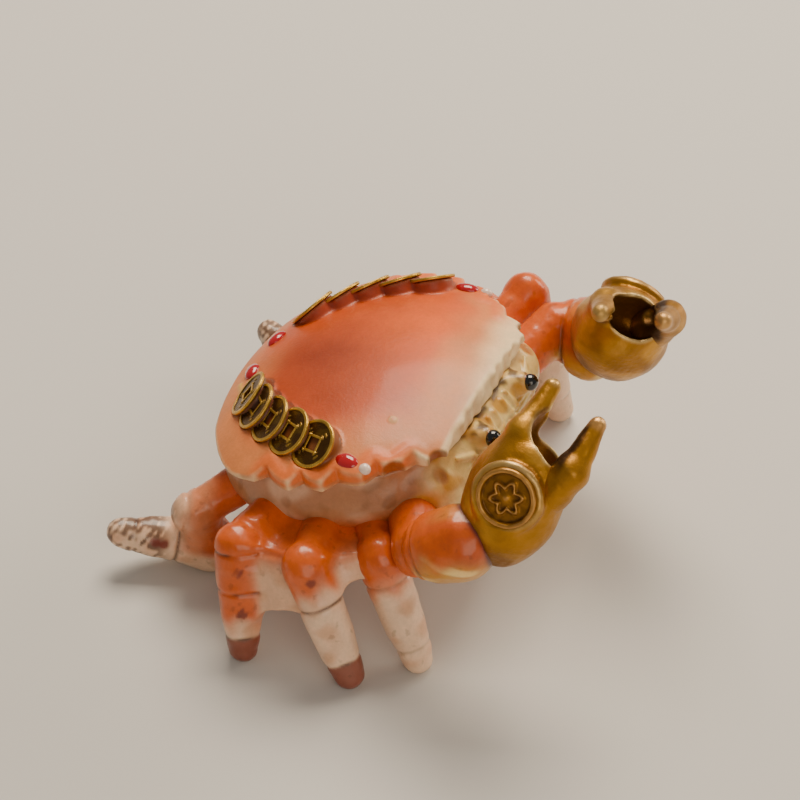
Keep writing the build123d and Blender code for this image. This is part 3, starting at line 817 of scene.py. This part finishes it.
THIGH_RADIUS = 3.1
KNEE_RADIUS = 3.3
SHANK_SWELL = 0.5
TOE_RADIUS = 2.25
HEEL_RADIUS = 4.0
FOOT_FLAT = 0.4
TOE_LIFT = TOE_RADIUS - FOOT_FLAT
WEB_THICKNESS = 2.2
WEB_SAG = 2.6
HEEL = place(-0.725, 0.86, 0, HEEL_RADIUS - FOOT_FLAT)

LEGS = {
    "leg_1": [place(-0.65, -0.34, 0.71), place(-0.945, -0.56, 0.68), place(-1.022, -0.886, 0, TOE_LIFT)],
    "leg_2": [place(-0.72, -0.09, 0.69), place(-1.18, -0.15, 0.68), place(-1.285, -0.53, 0, TOE_LIFT)],
    "leg_3": [place(-0.72, 0.23, 0.69), place(-1.165, 0.36, 0.65), place(-1.335, 0.23, 0, TOE_LIFT)],
    "leg_4": [place(-0.57, 0.52, 0.67), place(-0.85, 0.88, 0.47), place(-0.955, 1.39, 0.165, TOE_LIFT)],
}
LEFT_LEGS = {
    "leg_1": [place(-0.65, -0.34, 0.73), place(-1.12, -0.53, 0.96), place(-1.22, -0.76, 0, TOE_LIFT)],
    "leg_2": LEGS["leg_2"],
    "leg_3": LEGS["leg_3"],
    "leg_4": [place(-0.57, 0.52, 0.62), place(-0.80, 0.86, 0.36), place(-0.955, 1.39, 0.165, TOE_LIFT)],
}
WEB_DOWN = {"leg_2": (0.28, 0.38), "leg_3": (0.50, 0.78)}

# Creases and brown spots of each leg, as shares of the shank below the knee
CREASES = {"leg_1": (0.22,), "leg_2": (0.34,), "leg_3": (0.02, 0.40), "leg_4": (0.38,)}
SPOTS = {"leg_1": (0.06,), "leg_2": (0.10,), "leg_3": (0.20, 0.60), "leg_4": (0.52, 0.62)}
TOE_LINE = 0.86
OUTWARD = unit([-0.80, -0.45, 0.40])
CREASE_WIDTH = 0.35
SPOT_RADIUS = 0.9


def shank_joints(name, joints):
    """The joints between which a leg's creases, spots and paint are laid out."""
    _, knee, toe = joints
    return (HEEL, toe) if name == "leg_4" else (knee, toe)


def leg_field(name, joints, web=None):
    """Field of one leg of the right side, with its knuckle, creases and the web to the leg in front."""
    root, knee, toe = joints
    top, _ = shank_joints(name, joints)
    length = np.linalg.norm(toe - top)

    def field(points):
        thigh = limb(points, root, knee, THIGH_RADIUS, KNEE_RADIUS - 0.25)
        along = share_along(points, top, toe)
        knuckle = np.linalg.norm(points - knee, axis=1) - KNEE_RADIUS
        if name == "leg_4":
            upper = limb(points, knee, HEEL, KNEE_RADIUS, HEEL_RADIUS)
            foot = limb(points, HEEL, toe, HEEL_RADIUS, TOE_RADIUS, 0.2)
            shank = blend_min(upper, foot, 1.4)
        else:
            shank = limb(points, knee, toe, KNEE_RADIUS, TOE_RADIUS, SHANK_SWELL)
        thigh = blend_min(thigh, knuckle, 0.5)
        total = blend_min(thigh, shank, 0.8)
        if web is not None:
            total = blend_min(total, web(points), 2.0)
        on_shank = smooth_step(1.1, 0.5, np.abs(shank))
        for crease in CREASES[name]:
            total += 0.28 * on_shank * np.exp(-(((along - crease) * length / CREASE_WIDTH) ** 2))
        toe_line = (along - TOE_LINE) * length
        total += 0.16 * on_shank * np.exp(-((toe_line / CREASE_WIDTH) ** 2))
        total += 0.13 * lumps(points, 5, int(abs(root[1]) * 10) % 97)
        total += 0.03 * lumps(points, 1.6, 77)
        return blend_max(total, -points[:, 2], 0.25)

    return field


def sheet_field(corners, thickness):
    """Field of a flat sheet with four corners."""
    across = unit(corners[1] - corners[0])
    normal = unit(np.cross(across, corners[3] - corners[0]))
    upward = np.cross(normal, across)
    frame_axes = np.array([across, upward, normal])
    flat = (np.array(corners) - corners[0]) @ frame_axes[:2].T
    middle = flat.mean(0)

    def field(points):
        local = (points - corners[0]) @ frame_axes.T
        edge_gap = np.full(len(points), -1e9)
        for a, b in zip(flat, np.roll(flat, -1, axis=0)):
            side = np.array([b[1] - a[1], a[0] - b[0]])
            side /= np.linalg.norm(side)
            if (middle - a) @ side > 0:
                side = -side
            edge_gap = np.maximum(edge_gap, (local[:, :2] - a) @ side)
        return blend_max(np.abs(local[:, 2]) - thickness / 2, edge_gap, 0.6)

    return field


def web_field(joints, front_joints, down):
    """Field of the web between a leg and the one in front: its hip part and its arched lower part."""
    root, knee, toe = joints
    front_root, front_knee, front_toe = front_joints
    front_low = front_knee + (front_toe - front_knee) * down[0]
    low = knee + (toe - knee) * down[1]
    hip = sheet_field([knee, front_knee, front_root, root], WEB_THICKNESS)
    curtain = sheet_field([knee, front_knee, front_low, low], WEB_THICKNESS)
    chord = low - front_low
    normal = unit(np.cross(front_knee - knee, toe - knee))
    inward = unit(np.cross(chord, normal))
    if inward @ (knee - low) < 0:
        inward = -inward

    def field(points):
        share = ((points - front_low) @ chord) / (chord @ chord)
        arch = (points - front_low) @ inward - WEB_SAG * 4 * share * (1 - share)
        lower = blend_max(curtain(points), -arch, 0.6)
        return blend_min(lower, hip(points), 1.6)

    return field


def leg_paint(name, vertices, hollow, joints):
    """Orange above, cream below, brown creases, spots and toe, and painted shade in the hollows."""
    top, toe = shank_joints(name, joints)
    along = toe - top
    length = np.linalg.norm(along)
    share = ((vertices - top) @ along) / length**2
    axis = top + np.clip(share, 0, 1)[:, None] * along
    radial = np.linalg.norm(vertices - axis, axis=1)
    own = smooth_step(KNEE_RADIUS + 1.5, KNEE_RADIUS, radial)
    facing = ((vertices - axis) @ OUTWARD) / (radial + 0.01)
    mottle = lumps(vertices, 4, 31)
    fine = lumps(vertices, 1.2, 32)
    if name == "leg_4":
        above = (vertices - axis)[:, 2] / HEEL_RADIUS
        orange = smooth_step(0.50, 0.25, share + 0.05 * mottle) * smooth_step(-0.1, 0.6, above)
        upper = smooth_step(-0.25, -0.5, share) * smooth_step(7, 11, vertices[:, 2])
        orange = np.maximum(orange, upper)
    else:
        fade = 0.86 if name == "leg_3" else 0.40
        orange = 1 - smooth_step(fade - 0.30, fade, share + 0.07 * mottle)
        lower = smooth_step(-0.05, 0.25, share)
        orange *= 1 - lower * (1 - own * smooth_step(-0.6, 0.6, facing))
    layers = [
        (LEG_SHADE, 0.6 * smooth_step(0.1, 0.9, lumps(vertices, 6, 33))),
        (LEG_ORANGE, orange),
        (RED_BROWN, 0.35 * smooth_step(0.2, 1.2, mottle) * orange),
        (LEG_SHADE, 0.5 * (1 - own) * smooth_step(0.0, 0.2, share)),
    ]
    if name == "leg_4":
        dark = smooth_step(0.42, 0.62, share) * smooth_step(-0.9, 0.2, fine + mottle)
        layers.append((DARK_LINE, 0.8 * dark))
    elif name != "leg_1":
        toe_mask = smooth_step(TOE_LINE - 0.01, TOE_LINE + 0.02, share)
        layers.append((TOE_BROWN, 0.9 * (toe_mask * smooth_step(-0.7, -0.2, facing))))
    line = 0.3 if name == "leg_1" else 0.9
    for crease in CREASES[name] + (TOE_LINE,):
        gap = (share - crease) * length
        strength = np.exp(-((gap / 0.26) ** 2)) * smooth_step(-0.6, 0.4, mottle + 0.3) * own
        layers.append((DARK_LINE, line * strength * smooth_step(-0.3, 0.3, facing)))
    for spot in SPOTS[name]:
        centre = top + along * spot + OUTWARD * (KNEE_RADIUS - 0.3)
        gap = np.linalg.norm(vertices - centre, axis=1) + 0.25 * fine
        faded = smooth_step(SPOT_RADIUS * 0.6, SPOT_RADIUS * 1.2, gap)
        layers.append((TOE_BROWN, line * (1 - faded)))
    # The last layer is painted shade in the leg's hollows
    return painted(LEG_CREAM, *layers, (DARK_LINE, 0.35 * smooth_step(0.15, 0.6, hollow)))


def make_legs():
    """The eight legs."""
    for side, legs in (("right", LEGS), ("left", LEFT_LEGS)):
        for name, joints in legs.items():
            web = None
            front = joints
            if name in WEB_DOWN:
                front = legs[f"leg_{int(name[-1]) - 1}"]
                web = web_field(joints, front, WEB_DOWN[name])
            corners = np.array(joints + front + ([HEEL] if name == "leg_4" else []))
            low, high = corners.min(0) - LEG_ROOM, corners.max(0) + LEG_ROOM
            low[2] = -0.5
            if web:
                high[1] = joints[1][1] + LEG_ROOM
            vertices, quads, hollow = surface_of(leg_field(name, joints, web), (low, high), LEG_STEP)
            paint = leg_paint(name, vertices, hollow, joints)
            if side == "left":
                vertices, quads = flip_mesh(vertices, quads)
            make_piece(f"{side}_{name}", vertices, quads, LIMB_RESIN, paint)


ARM_ROOT = place(-0.56, -0.60, 0.79)
ELBOW = place(-0.946, -0.84, 0.81)
LEFT_ELBOW = place(-0.935, -0.86, 0.95)
WRIST_START = place(-0.985, -1.018, 0.925)
WRIST = place(-0.948, -1.152, 0.974)
ARM_RADIUS = 3.9
WRIST_RADIUS = 5.5
WRIST_LOBE = np.array([1.2, 0.6, -2.6])

PALM_CENTRE = place(-0.752, -1.411, 1.203)
PALM_LENGTH = 21.0
PALM_WIDTH = 15.2
PALM_THICKNESS = 13.0
PALM_HALVES = np.array([6.5, 7.4, 10.5])
JOIN_HALVES = np.array([6.5, 7.6, 10.5])
FINGER_END_RADIUS = 1.35
PALM_UP = unit([0.40, -0.25, 0.88])
side_wish = np.array([-0.865, 0.21, 0.453])
PALM_SIDE = unit(side_wish - (side_wish @ PALM_UP) * PALM_UP)
PALM_FRONT = np.cross(PALM_UP, PALM_SIDE)
PALM_AXES = np.array([PALM_SIDE, PALM_FRONT, PALM_UP])
FINGER_TIP = place(-0.326, -1.459, 1.69)
CLAW_TIP = place(-0.463, -1.841, 1.639)
MEDAL_RADIUS = 4.6
MEDAL_SEAT = 1.7
MEDAL_RISE = 0.105
MEDAL_TURN = math.radians(15.0)


def on_palm(x, y, z):
    """A point of the palm: X out to the medallion, Y to the front, Z from wrist to fingers."""
    return PALM_CENTRE + np.array([x, y, z]) @ PALM_AXES


FIXED_JOINTS = [
    on_palm(0, -0.18 * PALM_WIDTH, 0.15 * PALM_LENGTH),
    on_palm(0, -0.20 * PALM_WIDTH, 0.45 * PALM_LENGTH),
    FINGER_TIP,
]
LOOSE_JOINTS = [
    on_palm(0, 0.29 * PALM_WIDTH, 0.20 * PALM_LENGTH),
    on_palm(0, 0.41 * PALM_WIDTH, 0.42 * PALM_LENGTH),
    CLAW_TIP,
]
HOLLOW_CENTRE = on_palm(-0.9, PALM_WIDTH / 10, PALM_LENGTH / 2)
HOLLOW_HALVES = np.array([3.2, 4.3, 6.6])
MEDAL_SIDE = PALM_SIDE * math.cos(MEDAL_TURN) + PALM_FRONT * math.sin(MEDAL_TURN)
MEDAL_ORIGIN = on_palm(0, 0, PALM_LENGTH * MEDAL_RISE) + MEDAL_SIDE * (PALM_THICKNESS / 2 - MEDAL_SEAT)


def finger_field(points, joints, base_radius, bend_radius):
    """A tapering finger of two segments."""
    base, bend, tip = joints
    low = limb(points, base, bend, base_radius, bend_radius)
    end = tip - 0.35 * unit(tip - bend)
    high = limb(points, bend, end, bend_radius, FINGER_END_RADIUS, -0.12)
    return blend_min(low, high, 0.8)


def palm_field(points):
    """The gold palm with its fixed finger, the hollow at its mouth and the ring round its medal."""
    palm = egg(points, PALM_CENTRE, PALM_AXES, PALM_HALVES)
    palm = blend_min(palm, finger_field(points, FIXED_JOINTS, 3.7, 2.5), 1.2)
    hollow = egg(points, HOLLOW_CENTRE, PALM_AXES, HOLLOW_HALVES)
    palm = blend_max(palm, -hollow, 0.5)
    groove_start = FIXED_JOINTS[1] + PALM_FRONT * 2.6 + PALM_SIDE * 0.6
    groove_end = FINGER_TIP + PALM_FRONT * 1.1 - PALM_UP * 1.5
    palm = blend_max(palm, -limb(points, groove_start, groove_end, 0.7, 0.35), 0.5)
    seat = (points - MEDAL_ORIGIN) @ MEDAL_SIDE
    ring = np.linalg.norm(points - MEDAL_ORIGIN - seat[:, None] * MEDAL_SIDE, axis=1)
    palm = blend_max(palm, -np.maximum(ring - MEDAL_RADIUS + 0.2, 0.7 - seat), 0.3)
    collar = np.hypot(ring - MEDAL_RADIUS - 0.1, seat - 0.5) - 0.7
    palm = blend_min(palm, collar, 0.9)
    return palm + 0.13 * lumps(points, 6, 21) + 0.02 * lumps(points, 1.3, 24)


def dactyl_field(points):
    """The loose finger of the claw, a little hollow on its biting side."""
    finger = finger_field(points, LOOSE_JOINTS, 3.3, 2.6)
    start = LOOSE_JOINTS[1] - PALM_FRONT * 2.9
    groove = limb(points, start, CLAW_TIP - PALM_FRONT * 2.0 - PALM_UP * 3.0, 1.3, 0.5)
    finger = blend_max(finger, -groove, 0.6)
    return finger + 0.10 * lumps(points, 5, 22) + 0.02 * lumps(points, 1.3, 25)


def elbow_crease(points, elbow):
    """How far points lie past the crease between the upper arm and the wrist."""
    return (points - (elbow * 0.4 + WRIST_START * 0.6)) @ unit(WRIST - elbow)


def arm_field(elbow):
    """Field of the upper arm and the wrist, with the crease between them and a lower lobe."""

    def field(points):
        upper = limb(points, ARM_ROOT, elbow, ARM_RADIUS, ARM_RADIUS)
        wrist = limb(points, WRIST_START, WRIST, WRIST_RADIUS - 0.2, WRIST_RADIUS)
        total = blend_min(upper, wrist, 0.5)
        lobe = np.linalg.norm(points - WRIST - WRIST_LOBE, axis=1) - WRIST_RADIUS * 0.86
        total = blend_min(total, lobe, 1.0)
        crease = elbow_crease(points, elbow)
        total += 0.30 * np.exp(-((crease / 0.45) ** 2))
        return total + 0.16 * lumps(points, 7, 23) + 0.03 * lumps(points, 1.6, 26)

    return field


def gold_paint(vertices, hollow):
    """Ochre gold, browner to the wrist, with painted shade in the hollow at the palm's mouth and in the low
    places, and painted highlight on the ridges.
    """
    low = (vertices - PALM_CENTRE) @ PALM_UP
    inside = egg(vertices, HOLLOW_CENTRE, PALM_AXES, HOLLOW_HALVES)
    return painted(
        OCHRE,
        (GOLD_LIGHT, 0.45 * smooth_step(0.0, 0.8, lumps(vertices, 8, 41))),
        (GOLD_BROWN, 0.4 * smooth_step(0.2, 0.9, lumps(vertices, 6, 42))),
        (GOLD_BROWN, 0.45 * smooth_step(-2.0, -9.0, low)),
        # Painted shade: brown in the hollow at the palm's mouth
        (GOLD_BROWN, 0.75 * (1 - smooth_step(0.15, 0.45, np.abs(inside)))),
        # Painted shade in the low places and painted highlight on the ridges
        (GOLD_DARK, 0.7 * smooth_step(0.08, 0.45, hollow)),
        (GOLD_HIGHLIGHT, 0.9 * smooth_step(-0.12, -0.5, hollow)),
    )


def dactyl_paint(vertices, hollow):
    """Gold outside, dark brown on the biting side and tan at the tip."""
    _, bend, tip = LOOSE_JOINTS
    along = tip - bend
    share = ((vertices - bend) @ along) / (along @ along)
    across = vertices - bend - np.clip(share, 0, 1)[:, None] * along
    biting = smooth_step(-0.2, 0.9, -(across @ PALM_FRONT))
    return painted(
        gold_paint(vertices, hollow),
        (GOLD_DARK, 0.95 * biting * smooth_step(-0.4, 0.1, share)),
        (TAN, 0.7 * smooth_step(0.80, 0.97, share)),
    )


def arm_paint(vertices, hollow, elbow):
    """Orange and red-brown above, cream to gold below, purple-brown in the crease by the palm, and painted
    shade in the hollows.
    """
    at_wrist = smooth_step(-14.5, -19.0, vertices[:, 1])
    low = smooth_step(27.0, 23.0, vertices[:, 2] + 0.8 * lumps(vertices, 5, 44)) * at_wrist
    palm = egg(vertices, PALM_CENTRE, PALM_AXES, JOIN_HALVES)
    slit = np.exp(-((elbow_crease(vertices, elbow) / 0.45) ** 2))
    return painted(
        LEG_ORANGE,
        (RED_BROWN, 0.6 * at_wrist * smooth_step(-0.7, 0.5, lumps(vertices, 7, 43))),
        (GOLD_LIGHT, 0.35 * at_wrist * smooth_step(0.0, 0.9, lumps(vertices, 9, 46))),
        (FACE_GOLD, low),
        (FACE_CREAM, low * smooth_step(0.1, 0.8, lumps(vertices, 5, 45))),
        (PURPLE_BROWN, 0.9 * np.exp(-((np.maximum(palm - 0.1, 0) / 0.5) ** 2))),
        (PURPLE_BROWN, 0.75 * slit * smooth_step(-0.5, 0.4, lumps(vertices, 6, 47))),
        # Painted shade in the arm's hollows
        (DARK_LINE, 0.5 * smooth_step(0.1, 0.5, hollow)),
    )


def make_claws():
    """Arms, palms and fingers."""
    for side, elbow in (("right", ELBOW), ("left", LEFT_ELBOW)):
        vertices, quads, hollow = surface_of(arm_field(elbow), ARM_BOX, LARGE_STEP)
        paint = arm_paint(vertices, hollow, elbow)
        if side == "left":
            vertices, quads = flip_mesh(vertices, quads)
        make_piece(f"{side}_arm", vertices, quads, LIMB_RESIN, paint)
    both_sides("{}_claw", palm_field, PALM_BOX, LEG_STEP, GOLD, gold_paint)
    both_sides("{}_claw_finger", dactyl_field, DACTYL_BOX, FINGER_STEP, GOLD, dactyl_paint)


COIN_FIELD = tint("553812")
COIN_OLIVE = tint("7A5C1E")
COIN_RIM = tint("D9AC48")
MARK_RADIUS = 2.15
MARK_HALF_SPAN = 0.32
HOLE_HALF = 0.95


def coin_field(points):
    """A coin in its own frame: raised rim, square hole with a raised frame and four plain marks."""
    x, y, z = points.T
    radius = np.linalg.norm(points[:, :2], axis=1)
    square = np.maximum(np.abs(x), np.abs(y))
    top = np.full(len(points), COIN_THICKNESS - 0.17)
    top += 0.17 * smooth_step(COIN_RADIUS - 0.60, COIN_RADIUS - 0.48, radius)
    top += 0.14 * smooth_step(1.38, 1.28, square)
    for k in range(4):
        turn = math.pi / 2 * k + math.pi / 4
        outward = np.array([math.cos(turn), math.sin(turn)])
        from_mark = points[:, :2] - MARK_RADIUS * outward
        along = from_mark @ outward
        across = from_mark @ np.array([-outward[1], outward[0]])
        spans = (-MARK_HALF_SPAN, MARK_HALF_SPAN)
        bars = np.minimum.reduce([np.hypot(along - span, across * 0.45) for span in spans])
        top += 0.11 * smooth_step(0.26, 0.16, bars)
    flat = blend_max((z - top) * 0.9, -z, 0.12)
    disc = blend_max(flat, radius - COIN_RADIUS, 0.18)
    return blend_max(disc, HOLE_HALF - square, 0.1)


def make_coins():
    """The ten coins in their two rows."""
    vertices, quads, _ = surface_of(coin_field, COIN_BOX, COIN_STEP, relax=1)
    radius = np.linalg.norm(vertices[:, :2], axis=1)
    square = np.abs(vertices[:, :2]).max(1)
    high = smooth_step(COIN_THICKNESS - 0.13, COIN_THICKNESS - 0.05, vertices[:, 2])
    rim = smooth_step(COIN_RADIUS - 0.58, COIN_RADIUS - 0.46, radius)
    hole_frame = smooth_step(1.42, 1.32, square) * high
    bright = np.maximum(rim, np.maximum(hole_frame, high * 0.5))
    draw = np.random.RandomState(8)
    row = len(COIN_ANGLES)
    for index, (origin, axes) in enumerate(coin_seats):
        mottle = lumps(vertices + draw.uniform(-50, 50, 3), 2.5, 51)
        paint = painted(
            COIN_FIELD,
            (COIN_OLIVE, 0.6 * smooth_step(-0.2, 0.7, mottle)),
            (COIN_RIM, bright * (0.85 + 0.15 * mottle)),
        )
        turn = draw.uniform(-0.25, 0.25)
        cosine, sine = math.cos(turn), math.sin(turn)
        spin = np.array([[cosine, sine, 0], [-sine, cosine, 0], [0, 0, 1]])
        side, facing = ("right", quads) if index < row else ("left", quads[:, ::-1])
        node = f"coin_{side}_{index % row + 1}"
        make_piece(node, origin + vertices @ spin @ axes, facing, BRASS, paint)


DROP_HALVES = (1.25, 1.85, 0.8)
PEARL_HALVES = (0.85, 0.95, 0.8)
DROP_RED = tint("B0101C")
PEARL_CREAM = tint("F3D9C8")

# Place on the coin ring in degrees, half sizes, colour and material slot of each bead of a row
BEADS = {
    "red_drop_{}_front": (12.0, DROP_HALVES, DROP_RED, "red_enamel"),
    "red_drop_{}_rear": (79.0, DROP_HALVES, DROP_RED, "red_enamel"),
    "pearl_tip_{}": (6.6, PEARL_HALVES, PEARL_CREAM, "pearl"),
}


def make_beads():
    """Red enamel drops and pearly tips."""
    for node, (angle, halves, colour, slot) in BEADS.items():
        origin, axes = ring_frame(angle)

        def bead_field(points, halves=np.array(halves)):
            return egg(points, np.zeros(3), np.eye(3), halves) + 0.03 * lumps(points, 2.5, 61)

        vertices, quads, _ = surface_of(bead_field, BEAD_BOX, SMALL_STEP)
        make_pair(node, origin + vertices @ axes, quads, GLOSS, colour)


BEAD_BLACK = tint("0A0908")


def stalk_field(points):
    """The short stalk of the right eye."""
    end = EYE + 0.5 * unit(STALK_ROOT - EYE)
    return limb(points, STALK_ROOT, end, 1.2, 1.25) + 0.06 * lumps(points, 2, 71)


def eye_field(points):
    """The bead of the right eye."""
    return np.linalg.norm(points - EYE, axis=1) - EYE_RADIUS + 0.01 * lumps(points, 2, 72)


def make_eyes():
    """Black bead eyes on short brown stalks."""
    eye_box = (EYE - 1.6, EYE + 1.6)
    stalk_box = (np.minimum(EYE, STALK_ROOT) - 2, np.maximum(EYE, STALK_ROOT) + 2)
    for node, field, box, step, material, colour, slot in (
        ("{}_eye", eye_field, eye_box, SMALL_STEP, BEAD, BEAD_BLACK, "black_bead"),
        ("{}_eye_stalk", stalk_field, stalk_box, STALK_STEP, LIMB_RESIN, SOCKET_BROWN, "stalk_brown"),
    ):
        vertices, quads, _ = surface_of(field, box, step)
        make_pair(node, vertices, quads, material, colour)


def medal_field(points):
    """The medal on the palm: a raised ring round a plain rosette."""
    x, y, z = points.T
    radius = np.linalg.norm(points[:, :2], axis=1)
    angle = np.arctan2(y, x)
    top = np.full(len(points), 1.15)
    top += 0.55 * np.exp(-(((radius - 4.1) / 0.42) ** 4))
    petals = 2.0 + 0.45 * np.cos(6 * angle)
    top += 0.40 * np.exp(-(((radius - petals) / 0.33) ** 2))
    top += 0.35 * np.exp(-((radius / 0.6) ** 2))
    top += 0.05 * lumps(points * [1, 1, 0], 1.4, 81)
    flat = blend_max((z - top) * 0.85, -z, 0.15)
    return blend_max(flat, radius - MEDAL_RADIUS, 0.3)


def make_medals():
    """The medals on the palms' outer faces, with painted highlight on their ridges and painted shade in
    their hollows.
    """
    vertices, quads, hollow = surface_of(medal_field, MEDAL_BOX, SMALL_STEP)
    paint = painted(
        (GOLD_BROWN + OCHRE) / 2,
        (OCHRE, 0.9 * smooth_step(1.15, 1.55, vertices[:, 2])),
        # Painted highlight on the ridges and painted shade in the hollows
        (TAN, 0.6 * smooth_step(-0.1, -0.5, hollow)),
        (GOLD_DARK, 0.7 * smooth_step(0.1, 0.5, hollow)),
    )
    axes = np.array([PALM_UP, np.cross(MEDAL_SIDE, PALM_UP), MEDAL_SIDE])
    world = MEDAL_ORIGIN + vertices @ axes
    make_pair("{}_claw_medallion", world, quads, GOLD, paint, "{}_medal_cast")


FLOOR_HALF = 3.0
LAMP_COLOUR = (1.0, 0.86, 0.68)
LAMP_AIM = Vector((0, 0, 0.02))
LAMPS = {
    "key": ((0.32, 0.10, 0.55), 0.35, 5.5),
    "fill": ((-0.5, -0.45, 0.35), 0.5, 2.0),
    "rim": ((0.5, -0.35, 0.25), 0.3, 2.0),
}

# The camera was fitted to the photograph. Its focal length is in pixels of the photograph's width
AZIMUTH = math.radians(-65.484)
ELEVATION = math.radians(41.0)
CAMERA_AIM = Vector((0, 0.0005, 0.025))
CAMERA_DISTANCE = 0.570
FOCAL_PIXELS = 3800
PHOTO_PIXELS = 800
SENSOR_WIDTH = 36


def make_floor():
    """A pale floor."""
    mesh = bpy.data.meshes.new("floor")
    corners = [(-1, -1), (1, -1), (1, 1), (-1, 1)]
    mesh.from_pydata([(x * FLOOR_HALF, y * FLOOR_HALF, 0) for x, y in corners], [], [(0, 1, 2, 3)])
    material, _, shader = node_setup("floor_paint")
    shader.inputs["Base Color"].default_value = (0.62, 0.6, 0.57, 1.0)
    shader.inputs["Roughness"].default_value = 0.8
    mesh.materials.append(material)
    floor = bpy.data.objects.new("floor", mesh)
    bpy.context.scene.collection.objects.link(floor)


def make_lights():
    """A soft warm surround and three area lamps."""
    world = bpy.data.worlds.new("studio")
    bpy.context.scene.world = world
    world.use_nodes = True
    background = world.node_tree.nodes["Background"]
    background.inputs["Color"].default_value = (1.0, 0.96, 0.90, 1.0)
    background.inputs["Strength"].default_value = 0.26
    for name, (spot, size, power) in LAMPS.items():
        lamp = bpy.data.lights.new(name, "AREA")
        lamp.energy = power
        lamp.size = size
        lamp.color = LAMP_COLOUR
        light = bpy.data.objects.new(name, lamp)
        light.location = spot
        light.rotation_euler = (LAMP_AIM - Vector(spot)).to_track_quat("-Z", "Y").to_euler()
        bpy.context.scene.collection.objects.link(light)


def make_camera():
    """The camera at the photograph's angle."""
    level = math.cos(ELEVATION)
    toward = Vector((math.sin(AZIMUTH) * level, -math.cos(AZIMUTH) * level, math.sin(ELEVATION)))
    lens = bpy.data.cameras.new("camera")
    lens.lens = FOCAL_PIXELS / PHOTO_PIXELS * SENSOR_WIDTH
    lens.sensor_width = SENSOR_WIDTH
    lens.clip_start = 0.01
    camera = bpy.data.objects.new("camera", lens)
    camera.location = CAMERA_AIM + toward * CAMERA_DISTANCE
    camera.rotation_euler = (-toward).to_track_quat("-Z", "Y").to_euler()
    bpy.context.scene.collection.objects.link(camera)
    bpy.context.scene.camera = camera


make_shell()
make_body()
make_legs()
make_claws()
make_medals()
make_coins()
make_beads()
make_eyes()
make_floor()
make_lights()
make_camera()
